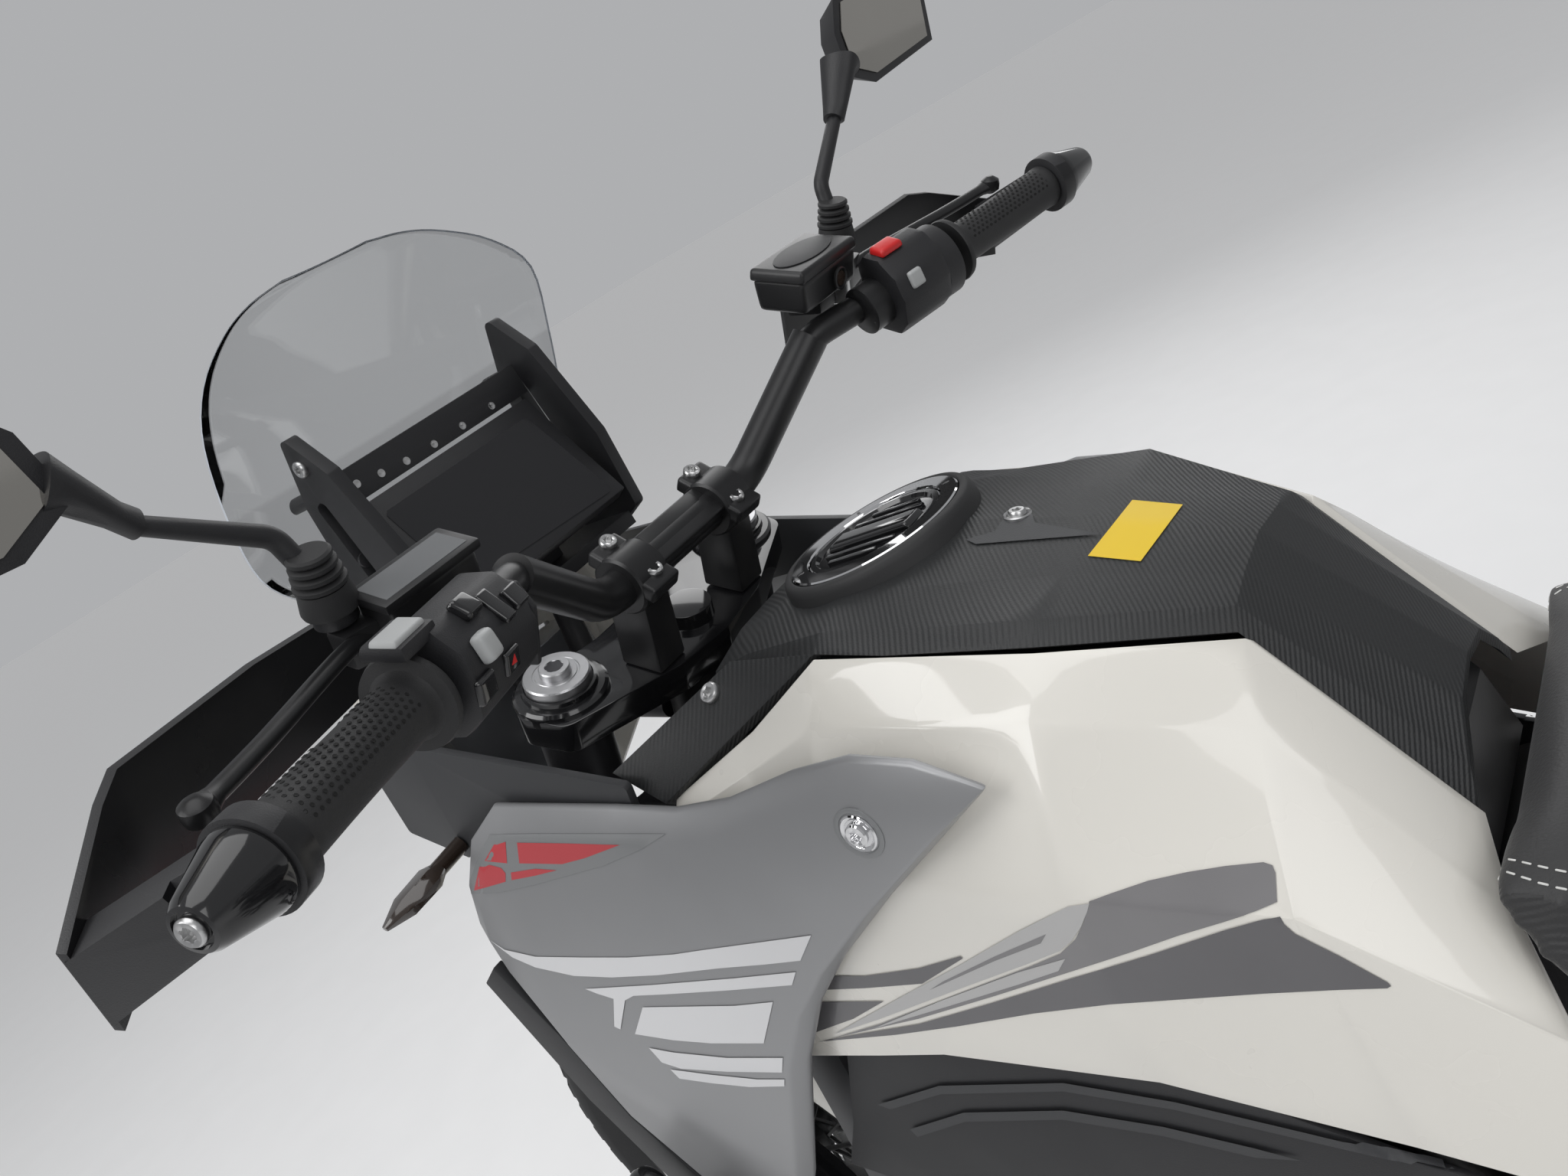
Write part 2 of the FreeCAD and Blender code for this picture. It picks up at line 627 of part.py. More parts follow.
def make_swingarm():
    outer = size.arm_inner + size.arm_width
    tip = REAR_AXLE
    outline = [(PIVOT.x + 26, PIVOT.z - 16), (PIVOT.x + 26, PIVOT.z + 16), (PIVOT.x - 4, PIVOT.z + 36),
               (PIVOT.x - 190, PIVOT.z + 12), (tip.x + 60, tip.z + 26), (tip.x - 34, tip.z + 22),
               (tip.x - 46, tip.z), (tip.x - 34, tip.z - 22), (tip.x + 60, tip.z - 26),
               (PIVOT.x - 190, PIVOT.z - 46), (PIVOT.x - 20, PIVOT.z - 36)]
    arm = plate(outline, size.arm_inner, outer, 12.0)
    cross = plate([(PIVOT.x - 178, PIVOT.z - 34), (PIVOT.x - 178, PIVOT.z + 6),
                   (PIVOT.x - 120, PIVOT.z + 22), (PIVOT.x - 120, PIVOT.z - 30)],
                  -size.arm_inner, size.arm_inner)
    tube = rod(PIVOT - Y_AXIS * (outer + 4), PIVOT + Y_AXIS * (outer + 4), 22)
    lug = plate([(PIVOT.x - 170, PIVOT.z), (SHOCK_LOW.x - 16, SHOCK_LOW.z + 12),
                 (SHOCK_LOW.x + 16, SHOCK_LOW.z + 12), (PIVOT.x - 124, PIVOT.z)], 15.3, 23)
    shock_pin = rod(SHOCK_LOW - Y_AXIS * 23, SHOCK_LOW + Y_AXIS * 23, 8)
    left_end = size.chain_plane + size.sprocket_thickness / 2 + 1.0
    right_end = size.rear_disc_plane + size.disc_thickness / 2 + 1.0
    axle = rod(REAR_AXLE - Y_AXIS * (outer + 16), REAR_AXLE + Y_AXIS * (outer + 16), size.axle_radius)
    spacer_left = rod(REAR_AXLE + Y_AXIS * left_end, REAR_AXLE + Y_AXIS * size.arm_inner, 17)
    spacer_right = rod(REAR_AXLE - Y_AXIS * size.arm_inner, REAR_AXLE - Y_AXIS * right_end, 17)
    nuts = [rod(REAR_AXLE + Y_AXIS * side * outer, REAR_AXLE + Y_AXIS * side * (outer + 12), 17)
            for side in (-1, 1)]
    feature("swingarm", fused([arm, mirrored(arm), cross, tube, lug, mirrored(lug), shock_pin, axle,
                               spacer_left, spacer_right] + nuts + [chain_guard()]))


def coil_spring(radius, wire, low, high, turns):
    """A helix of wire, six-sided in section, in straight steps."""
    steps = 12 * turns
    sections = []
    for step in range(steps + 1):
        turn = Rotation(Z_AXIS, 360.0 * turns * step / steps)
        height = low + (high - low) * step / steps
        sections.append([turn.multVec(Vector(radius + wire * math.cos(math.radians(a)), 0,
                                             height + wire * math.sin(math.radians(a))))
                         for a in range(0, 360, 60)])
    return loft(sections)


def make_rear_shock():
    """Damper body, piston rod, eyes and a coil spring between two collars."""
    along = SHOCK_HIGH - SHOCK_LOW
    length = along.Length
    frame = Placement(SHOCK_LOW, Rotation(Z_AXIS, along))
    eyes = [Part.makeCylinder(17, 30, Vector(0, -15, z), Y_AXIS) for z in (0, length)]
    bores = [Part.makeCylinder(8.3, 32, Vector(0, -16, z), Y_AXIS) for z in (0, length)]
    low_seat, high_seat = 46.0, length - 66
    body = [Part.makeCylinder(9, length - 20, Vector(0, 0, 10)),
            Part.makeCylinder(24, 120, Vector(0, 0, length - 140)),
            Part.makeCylinder(38, 8, Vector(0, 0, low_seat - 8)),
            Part.makeCylinder(38, 14, Vector(0, 0, high_seat))]
    wire, turns = 5.5, 7
    coil = coil_spring(31, wire, low_seat + wire - 2, high_seat - wire + 2, turns)
    damper = fused(eyes + body).cut(bores[0]).cut(bores[1])
    feature("rear_shock", damper.fuse(coil), frame)


def chain_guard():
    outer = size.arm_inner + 14
    top = plate([(342, 474), (342, 478), (110, 482), (-60, 474), (-60, 470), (110, 478)],
                size.chain_plane - 9, outer)
    side = plate([(342, 478), (342, 446), (110, 440), (-60, 440), (-60, 474), (110, 482)],
                 size.chain_plane + 12, size.chain_plane + 15)
    foot = plate([(300, 398), (300, 450), (270, 450), (270, 392)], size.chain_plane + 15, outer)
    return fused([top, side, foot])


# Engine and its pipes
def make_engine():
    half = size.crank_half_width
    case = [(600, 300), (590, 380), (640, 470), (700, 500), (860, 490), (944, 452), (958, 392),
            (930, 330), (905, 262), (820, 236), (680, 236)]
    lean = Rotation(Y_AXIS, 14)
    sprocket = chain_centres()[0]
    inside = size.chain_plane - size.chain_width / 2 - 5
    room = plate([(sprocket.x - 90, sprocket.z - 62), (sprocket.x + 30, sprocket.z - 56),
                  (sprocket.x + 56, sprocket.z - 24), (sprocket.x + 56, sprocket.z + 24),
                  (sprocket.x + 30, sprocket.z + 58), (sprocket.x - 90, sprocket.z + 70)],
                 inside, half)
    tooth_tip = sprocket_radius(size.front_teeth) - size.chain_plate_half - 0.7
    wheel = Part.makeCylinder(tooth_tip, 7, sprocket + Y_AXIS * (size.chain_plane - 3.5), Y_AXIS)
    shaft = rod(sprocket + Y_AXIS * (inside - 10), sprocket + Y_AXIS * (size.chain_plane + 6), 13)
    block = plate(case, -half + 30, half - 30, 30).cut(room)
    crankcase = solid_object("crankcase", fused([block, wheel, shaft]))
    clutch = cylinder("clutch_cover", 88, 36, Vector(705, -half - 1, 372), Y_AXIS)
    crank = cylinder("crank_cover", 62, 30, Vector(832, -half + 2, 350), Y_AXIS)
    alternator = cylinder("alternator_cover", 78, 34, Vector(832, half - 32, 350), Y_AXIS)
    barrels = box("cylinders", 165, 196, 150, Vector(848, 0, 545), lean)
    fins = [box("fin_%d" % i, 173, 204, 5, Vector(848, 0, 545) + lean.multVec(Vector(0, 0, -48 + 24 * i)),
                lean) for i in range(5)]
    head = box("cylinder_head", 190, 208, 88, Vector(848, 0, 545) + lean.multVec(Vector(0, 0, 119)), lean)
    cover = box("cam_cover", 150, 190, 44, Vector(848, 0, 545) + lean.multVec(Vector(0, 0, 180)), lean)
    filter_can = cylinder("oil_filter", 34, 46, Vector(900, 20, 290), X_AXIS)
    ports = [cone("port_%d" % i, 30, 24, 34, Vector(848, 0, 545) + lean.multVec(Vector(88, side, 112)),
                  lean.multVec(Vector(1, 0, -0.35))) for i, side in enumerate((-52, 52))]
    parts = [crankcase, clutch, crank, alternator, barrels, head, cover, filter_can] + fins + ports
    piece(joined("engine", parts + [sprocket_cover()] + intake()), "engine")


def sprocket_cover():
    centre = chain_centres()[0]
    low = size.chain_plane + size.chain_width / 2 + 1
    cover = plate([(centre.x - 34, centre.z - 60), (centre.x - 42, centre.z - 20),
                   (centre.x - 42, centre.z + 46), (centre.x + 30, centre.z + 64),
                   (centre.x + 84, centre.z + 34), (centre.x + 84, centre.z - 44)], low, low + 20, 16)
    return solid_object("sprocket_cover", cover)


def intake():
    """Throttle bodies between the cylinder head and the air box."""
    lean = Rotation(Y_AXIS, 14)
    base = Vector(848, 0, 545)
    parts = [cylinder("throttle_%d" % i, 26, 76, base + lean.multVec(Vector(-166, side, 122)),
                      lean.multVec(X_AXIS)) for i, side in enumerate((-50, 50))]
    rail = cylinder("fuel_rail", 7, 150, base + lean.multVec(Vector(-130, -75, 152)), Y_AXIS)
    air_box = box("air_box", 110, 170, 96, base + lean.multVec(Vector(-216, 0, 130)), lean)
    return parts + [rail, air_box]


def make_radiator():
    tilt = Rotation(Y_AXIS, -8)
    centre = Vector(1136, 0, 642)
    half = size.radiator_half_width
    core = box("radiator_core", "radiator_depth", "2 * radiator_half_width - 50", "radiator_height",
               centre, tilt)
    tanks = [box("radiator_tank_%d" % i, "radiator_depth + 8", 25, "radiator_height + 6",
                 centre + Y_AXIS * side * (half - 12.5), tilt) for i, side in enumerate((-1, 1))]
    tube = pipe(DOWN_TUBE, size.main_tube_radius - 3 + 0.3, 60)
    high = Part.makeBox(44, 12, 22, Vector(1064, 70, 728)).cut(tube)
    low = Part.makeBox(124, 10, 12, Vector(1012, 90, 552)).cut(tube)
    brackets = [solid_object("radiator_bracket_%d" % i, shape) for i, shape in
                enumerate((largest(high), mirrored(largest(high)), largest(low), mirrored(largest(low))))]
    piece(joined("radiator", [core] + tanks + brackets), "radiator")


def make_exhaust():
    radius = size.header_radius
    lean = Rotation(Y_AXIS, 14)
    way = lean.multVec(Vector(1, 0, -0.35)).normalize()
    start = Vector(848, 0, 545) + lean.multVec(Vector(88, 52, 112)) + way * 34.3
    out = start + way * 44
    left = pipe([start, out, Vector(1052, 48, 500), Vector(1030, 44, 300), Vector(940, 24, 213),
                 Vector(700, -60, 208)], radius, 60)
    right_start = Vector(start.x, -start.y, start.z)
    right = pipe([right_start, Vector(out.x, -out.y, out.z), Vector(1052, -52, 500),
                  Vector(1030, -52, 300), Vector(940, -60, 213), Vector(700, -96, 208)], radius, 60)
    link = pipe([Vector(720, -84, 206), Vector(615, -94, 206), Vector(535, -180, 214),
                 Vector(440, -188, 280), Vector(356, -188, 330)], 24, 60)
    plate_outer = size.arm_inner + size.arm_width + 4 + size.pivot_plate_thickness
    tab = Part.makeBox(24, 14, 56, Vector(222, -plate_outer - 5.3 - 14, 393.7))
    feature("exhaust", fused([left, right, link, silencer(), tab]))


def silencer():
    """A six-sided can with a tapered nose and an end cap."""
    start, end = Vector(352, -188, 332), Vector(-130, -196, 470)
    along = (end - start).normalize()
    frame = Placement(start, Rotation(Z_AXIS, along))
    length = (end - start).Length
    radius = size.silencer_radius
    table = ((0.0, 24.0), (0.12, 0.82 * radius), (0.20, radius), (0.93, radius), (1.0, 0.80 * radius))
    sections = []
    for share, reach in table:
        ring = [Vector(reach * 1.12 * math.cos(math.radians(a)), reach * 0.92 * math.sin(math.radians(a)),
                       share * length) for a in range(0, 360, 30)]
        sections.append(ring)
    can = loft(sections)
    outlet = Part.makeCylinder(20, 34, Vector(0, 0, length - 30))
    bore = Part.makeCylinder(16, 40, Vector(0, 0, length - 28))
    can = can.fuse(outlet).cut(bore)
    can.Placement = frame
    return can


def make_skid_plate():
    points = [(630, 172), (960, 166), (1074, 262), (1094, 400)]
    thick = 4.0
    outer = [Vector(x, -118, z) for x, z in points]
    lifted = [Vector(x - thick * 0.6, -118, z + thick) for x, z in points]
    sheet_face = Part.Face(Part.makePolygon(outer + lifted[::-1] + outer[:1]))
    bottom = sheet_face.extrude(Y_AXIS * 236)
    wing = plate([(630, 172), (960, 166), (1074, 262), (1094, 400), (1060, 330), (1010, 280),
                  (936, 262), (900, 268), (866, 278), (836, 220), (630, 208)], 118, 118 + thick)
    engine_side = size.crank_half_width - 30
    boss = rod(Vector(866, engine_side + 0.3, 263), Vector(866, 120, 263), 8)
    feet = [rod(Vector(x, side, 170), Vector(x, side, top), 10)
            for x, side, top in ((700, 72, 235.7), (790, 60, 235.7))]
    feature("skid_plate", fused([bottom, wing, mirrored(wing), boss, mirrored(boss)] + feet))


# Tank and body
# x at the seam, lean, then side and height of the seam, shoulder, middle and lower edge
TANK_SIDE = (
    (1060, 0, 152, 961, 162, 950, 170, 905, 181, 762),
    (985, 0, 130, 990, 150, 974, 168, 910, 182, 775),
    (928, 0, 110, 1020, 138, 992, 170, 912, 183, 786),
    (795, 0, 104, 999, 132, 978, 174, 903, 178, 781),
    (708, 0.1, 68, 968, 98, 938, 154, 874, 167, 745),
    (642, 0.5, 68, 858, 104, 840, 146, 800, 158, 704),
)
CAP_CENTRE = Vector(938, 0, 1034.8)
CAP_TILT = Rotation(Y_AXIS, 3.1)
CAP_FRAME = Placement(CAP_CENTRE, CAP_TILT)


def cap_cylinder(radius, low, high):
    shape = Part.makeCylinder(radius, high - low, Vector(0, 0, low))
    shape.Placement = CAP_FRAME
    return shape


# x, middle height, then side and height of the crease, ridge and seam
TANK_COVER = (
    (1052, 1014, 40, 1013, 78, 1005, 90, 985),
    (1000, 1029.5, 60, 1026, 90, 1020, 102, 998),
    (928, 1040, 66, 1034, 96, 1028, 109, 1022),
    (884, 1037, 66, 1030, 94, 1020, 106, 1012),
    (795, 1017, 50, 1011, 92, 1010, 103, 1001),
    (712, 988, 35, 984, 56, 979, 66, 970),
    (642, 900, 30, 894, 52, 872, 64, 856),
)


def tank_side(thick, extra=0.0):
    """The left panel, whose sections lean back towards the seat."""
    sections = []
    for row, (x, lean, *pairs) in enumerate(TANK_SIDE):
        outer = list(zip(pairs[0::2], pairs[1::2]))
        top = pairs[1]
        x += {0: extra, len(TANK_SIDE) - 1: -2 * extra}.get(row, 0)
        points = [Vector(x + lean * (height - top), side + extra, height + extra)
                  for side, height in outer]
        lower = [size.panel_thickness] * 3 + [0]
        back = [Vector(x + lean * (height - drop - top), side - thick - extra, height - drop - extra)
                for (side, height), drop in zip(outer, lower)]
        sections.append(points + back[::-1])
    return loft(sections)


def make_tank_sides():
    feature("tank_sides", both_sides(tank_side(size.panel_thickness)))


def make_tank_cover():
    """One moulded cover over the tank, with two lugs that reach down ahead."""
    thick = size.panel_thickness
    sections = []
    for x, middle, *pairs in TANK_COVER:
        half = [(side - 1.0, height) for side, height in zip(pairs[0::2], pairs[1::2])]
        left = [Vector(x, side, height) for side, height in half]
        right = [Vector(x, -side, height) for side, height in half]
        below = [Vector(x, side - thick, height - 0.8 * thick) for side, height in half]
        below_right = [Vector(x, -side + thick, height - 0.8 * thick) for side, height in half]
        sections.append(left[::-1] + [Vector(x, 0, middle)] + right + below_right[::-1]
                        + [Vector(x, 0, middle - thick)] + below)
    cover = loft(sections)
    lug = loft([[Vector(1008, 98, 1022), Vector(930, 106, 1021), Vector(930, 100, 1015),
                 Vector(1008, 92, 1016)],
                [Vector(1098, 157, 989), Vector(1064, 158, 962), Vector(1064, 152, 956),
                 Vector(1098, 151, 983)]])
    sides = tank_side(thick)
    hole = cap_cylinder(size.cap_radius + 4, -40, 40)
    feature("tank_cover", fused([cover, lug, mirrored(lug)]).cut(sides).cut(mirrored(sides)).cut(hole))


def make_tank_core():
    table = ((1045, 66, 970, 72, 852), (928, 84, 996, 90, 832), (795, 80, 976, 90, 814),
             (708, 48, 946, 82, 806), (652, 40, 862, 70, 800))
    sections = [[Vector(x, top_half, top), Vector(x, low_half, low), Vector(x, -low_half, low),
                 Vector(x, -top_half, top)] for x, top_half, top, low_half, low in table]
    neck = cap_cylinder(size.cap_radius + 3.6, -60, -0.3)
    bore = cap_cylinder(30, -48, 10)
    pads = [Part.makeBox(20, 28, 36, Vector(890, 86, 800.3)), Part.makeBox(20, 40, 60, Vector(752, 82, 763.5))]
    tank = fused([loft(sections), neck] + pads + [mirrored(pad) for pad in pads])
    spar = frame_spar(0.3)
    feature("fuel_tank", tank.cut(bore).cut(spar).cut(mirrored(spar)))


def make_filler():
    """The rubber collar, the chrome ring and, on its hinge, the lid."""
    collar = doc.addObject("PartDesign::Body", "filler_ring")
    sketch = new_sketch(collar, "ring_outline", "XY_Plane")
    add_circle(sketch, "cap_ring_radius")
    add_circle(sketch, "cap_radius + cap_gap")
    pad = collar.newObject("PartDesign::Pad", "ring_pad")
    pad.Profile = sketch
    pad.Length = 8
    piece(collar, "filler_ring", Placement(CAP_CENTRE, CAP_TILT))
    disc = cylinder("lid_disc", "cap_radius", 9, Vector(0, 0, 2))
    rise = cone("lid_rise", "cap_radius - 14", "cap_radius - 18", 4, Vector(0, 0, 11))
    piece(joined("fuel_cap", [disc, rise]), "fuel_cap", Placement(CAP_CENTRE, CAP_TILT))


# Outlines in side view of x and z pairs, the shroud's from its tip over the top
SHROUD = ((812, 964), (848, 983), (886, 990), (930, 985), (988, 972), (1036, 969), (1091, 975),
          (1221, 986), (1273, 960), (1312, 920), (1327, 886), (1324, 851), (1300, 780), (1286, 690),
          (1236, 602), (1150, 602), (1112, 654), (1033, 780), (996, 828), (956, 864), (899, 906))
SHROUD_FOLD = (1150, 780)
SIDE_COVER = ((1090, 690), (1105, 655), (1070, 700), (1019, 780), (898, 790), (784, 776), (694, 730),
              (600, 696), (560, 640), (640, 600), (800, 628), (950, 640))


def bevelled_panel(outline, centre, base_side, raise_by, shrink):
    """A panel whose border slopes out to a flat face."""
    cx, cz = centre
    smaller = [(cx + (x - cx) * shrink, cz + (z - cz) * shrink) for x, z in outline]
    inner = [Vector(x, base_side(x, z), z) for x, z in outline]
    edge = [Vector(x, base_side(x, z) + 5, z) for x, z in outline]
    face = [Vector(x, base_side(x, z) + 5 + raise_by, z) for x, z in smaller]
    return loft([inner, edge, face])


def shroud_side(x, z):
    """The inner face of the shroud, which leans in above its fold."""
    return 186 + 0.04 * (x - 1120) - 0.12 * (max(z, SHROUD_FOLD[1]) - 850)


def make_shrouds():
    upper = [point for point in SHROUD if point[1] >= SHROUD_FOLD[1]]
    lower = [point for point in SHROUD if point[1] <= SHROUD_FOLD[1]]
    halves = [bevelled_panel(outline, SHROUD_FOLD, shroud_side, 9, 0.90) for outline in (upper, lower)]
    shape = fused(halves).removeSplitter().cut(tank_side(60, 0.3))
    feature("shrouds", both_sides(largest(shape)))
    trim = plate([(1324.5, 851), (1356, 832), (1334, 700), (1300, 612), (1240, 580), (1150, 580),
                  (1150, 601.6), (1236.2, 601.6), (1286.4, 690), (1300.5, 780)], 200, 210)
    feature("shroud_trim", both_sides(trim))


def make_side_covers():
    outline = [(1100, 640), (1066, 690), (1016, 780), (898, 789), (784, 777), (694, 738), (560, 696),
               (520, 640), (600, 596), (800, 600), (960, 610)]
    points_in = [Vector(x, 160 + (x - 520) * 0.0205, z) for x, z in outline]
    thick = size.panel_thickness
    sections = [points_in, [point + Y_AXIS * thick for point in points_in]]
    shape = loft(sections)
    feature("side_covers", both_sides(shape))


# x, then side and height of the top edge, the flank and the underside
RIDER_SEAT = (
    (633, 66, 860, 116, 866, 128, 849),
    (606, 74, 862, 128, 862, 146, 816),
    (560, 82, 856, 136, 846, 148, 802),
    (500, 92, 848, 146, 828, 150, 796),
    (400, 112, 838, 160, 816, 156, 790),
    (290, 122, 846, 168, 822, 160, 794),
    (236, 116, 872, 164, 836, 156, 798),
)
PILLION_SEAT = (
    (228, 100, 896, 148, 872, 142, 806),
    (120, 112, 908, 150, 880, 142, 812),
    (-20, 104, 908, 136, 884, 126, 828),
    (-112, 84, 896, 108, 876, 100, 846),
)


def seat_shape(table):
    sections = []
    for x, *pairs in table:
        half = list(zip(pairs[0::2], pairs[1::2]))
        left = [Vector(x, side, height) for side, height in half]
        right = [Vector(x, -side, height) for side, height in half]
        sections.append(left + right[::-1])
    return loft(sections)


def rail_height(x):
    """The top of a subframe rail above the floor, and its side."""
    for before, after in zip(RAIL, RAIL[1:]):
        if before.x >= x >= after.x:
            share = (before.x - x) / (before.x - after.x)
            place = before + (after - before) * share
            return place.z + size.sub_tube_radius, place.y
    return RAIL[-1].z, RAIL[-1].y


def seat_feet(places, top):
    """Rubber feet under a seat's base, on the rails."""
    feet = []
    for x in places:
        height, side = rail_height(x)
        height += 1.6
        for sign in (-1, 1):
            feet.append(Part.makeCylinder(9, top - height, Vector(x, sign * side, height)))
    return feet


def make_seats():
    feature("rider_seat", fused([seat_shape(RIDER_SEAT)] + seat_feet((440, 330), 800)))
    feature("pillion_seat", fused([seat_shape(PILLION_SEAT)] + seat_feet((150, 0), 830)))


def make_tail():
    table = [(470, 150), (236, 160), (120, 148), (-110, 122), (-226, 78)]

    def side_at(x):
        for (x1, s1), (x2, s2) in zip(table, table[1:]):
            if x >= x2:
                return s1 + (s2 - s1) * (x - x1) / (x2 - x1)
        return table[-1][1]
    top = [(470, 768), (236, 788), (120, 800), (-30, 814), (-120, 828), (-226, 846)]
    low = [(470, 716), (236, 712), (120, 724), (-30, 752), (-120, 782), (-226, 820)]
    sections = []
    for (x, z_top), (x2, z_low) in zip(top, low):
        side = side_at(x)
        sections.append([Vector(x, side, z_top), Vector(x, side - 4, z_top),
                         Vector(x, side - 22, z_low), Vector(x, side - 18, z_low)])
    shape = loft(sections)
    feature("tail_covers", both_sides(shape))


def make_rack():
    radius = 11
    handle = [Vector(210, 168, 806), Vector(150, 182, 858), Vector(20, 176, 902),
              Vector(-150, 120, 930), Vector(-236, 84, 934)]
    deck = plate_flat([(-120, 92), (-262, 72), (-262, -72), (-120, -92)], 926, 936, 16)
    slots = [plate_flat([(-142, y + 14), (-242, y + 12), (-242, y - 12), (-142, y - 14)], 920, 940, 8)
             for y in (-46, 0, 46)]
    slots += [Part.makeCylinder(size.rack_hole_radius, 20, Vector(-192 + x, y, 920))
              for x in (-size.rack_spacing_x / 2, size.rack_spacing_x / 2)
              for y in (-size.rack_spacing_y / 2, size.rack_spacing_y / 2)]
    side = pipe(handle, radius, 90)
    post = pipe([Vector(-190, 60, 926), Vector(-150, 66, 870), Vector(-140, 70, 838)], 9, 20)
    foot = pipe([Vector(212, 168, 810), Vector(216, 160, 798), Vector(216, 116, 798),
                 Vector(216, 98, 788)], 7.5, 8)
    half = fused([side, post, foot]).cut(pipe(RAIL, size.sub_tube_radius + 0.3, 120))
    rack = fused([deck, half, mirrored(half)])
    for slot in slots:
        rack = rack.cut(slot)
    feature("luggage_rack", rack)


def plate_flat(outline, low, high, corner=0.0):
    """An outline of x and y pairs between two heights."""
    points = [Vector(x, y, low) for x, y in outline]
    edges = rounded_edges(points, corner, True) if corner else None
    wire = Part.Wire(edges) if edges else Part.makePolygon(points + points[:1])
    return Part.Face(wire).extrude(Z_AXIS * (high - low))


def make_rear_fender():
    back = -size.rear_overhang
    tray = plate([(330, 690), (330, 698), (40, 716), (-60, 740), (-60, 730), (40, 706)], -88, 88)
    holder = plate([(-60, 718), (-60, 740), (-190, 792), (-244, 786), (-330, 696), (back + 26, 596),
                    (back + 42, 588), (-322, 676), (-222, 768)], -62, 62)
    plate_half = size.plate_width / 2
    number = plate([(back + 20, 700), (back + 24, 702), (back + 4, 560), (back, 558)],
                   -plate_half, plate_half)
    arm_to_plate = plate([(-320, 690), (back + 15, 664), (back + 12, 640), (-330, 664)], -30, 30)
    posts = [rod(Vector(-120, side, 758), Vector(-120, side, 810.7), 9) for side in (-40, 40)]
    feature("rear_fender", fused([tray, holder, arm_to_plate, number] + posts))


def make_tail_lamp():
    lamp = plate([(-226.3, 812), (-226.3, 846), (-252, 842), (-262, 822), (-256, 808)], -64, 64)
    feature("tail_lamp", lamp)


def indicator(root, tip):
    """A stalk and a tapered lamp."""
    along = (tip - root).normalize()
    frame = Placement(root, Rotation(Z_AXIS, along))
    length = (tip - root).Length
    stalk = Part.makeCylinder(7, 0.36 * length, ORIGIN)
    sections = []
    for share, reach in ((0.30, 9.0), (0.42, 16.0), (0.75, 15.0), (1.0, 4.0)):
        sections.append([Vector(reach * math.cos(math.radians(a)), 0.62 * reach * math.sin(math.radians(a)),
                                share * length) for a in range(0, 360, 60)])
    lamp = loft(sections).fuse(stalk)
    lamp.Placement = frame
    return lamp


def make_indicators():
    front = indicator(COCKPIT.Base + Vector(182, 169.9, -55), COCKPIT.Base + Vector(187, 254, -63))
    rear = indicator(Vector(-226, 63.5, 778), Vector(-240, 150, 772))
    feature("indicators", Part.makeCompound([front, mirrored(front), rear, mirrored(rear)]))


# Cockpit and nose
def make_nose():
    """Sections by height: front x, half width, rear x."""
    table = ((-188, 390, 34, 340), (-150, 446, 52, 280), (-100, 380, 96, 240), (-40, 360, 132, 212),
             (40, 328, 138, 204), (110, 292, 120, 200), (150, 268, 96, 212))
    sections = []
    for z, front, half, rear in table:
        middle, thick = (front + rear) / 2 + 20, size.panel_thickness
        outer = [Vector(rear, half, z), Vector(middle, half, z), Vector(front, 0.42 * half, z)]
        inner = [Vector(rear, half - thick, z), Vector(middle - thick, half - thick, z),
                 Vector(front - 1.6 * thick, 0.42 * half - thick, z)]
        across = [Vector(p.x, -p.y, p.z) for p in outer]
        across_inner = [Vector(p.x, -p.y, p.z) for p in inner]
        sections.append(outer + across[::-1] + across_inner + inner[::-1])
    nose = loft(sections)
    lamp_face = [(256, -92), (256, 2), (336, 2), (390, -42), (396, -92)]
    feature("nose_fairing", nose.cut(plate(lamp_face, -92, 92)), COCKPIT)
    lens = plate([(260, -91), (260, 1), (330, 1), (356, -42), (364, -91)], -91.7, 91.7)
    feature("headlamp", lens, COCKPIT)


def windscreen_shape():
    """A shell bent about a vertical line: height, middle x, edge x, half width."""
    table = ((150.3, 256, 198, 128), (195, 244, 194, 170), (292, 200, 141, 169),
             (350, 166, 143, 100), (368, 153, 147, 56))
    thick = size.screen_thickness
    sections = []
    for z, middle, edge, half in table:
        points = []
        for share in (1, 0.75, 0.5, 0.25, 0, -0.25, -0.5, -0.75, -1):
            points.append(Vector(middle + (edge - middle) * share ** 2, share * half, z))
        back = [point - X_AXIS * thick for point in points]
        sections.append(points + back[::-1])
    return loft(sections)


def make_windscreen():
    feature("windscreen", windscreen_shape(), COCKPIT)


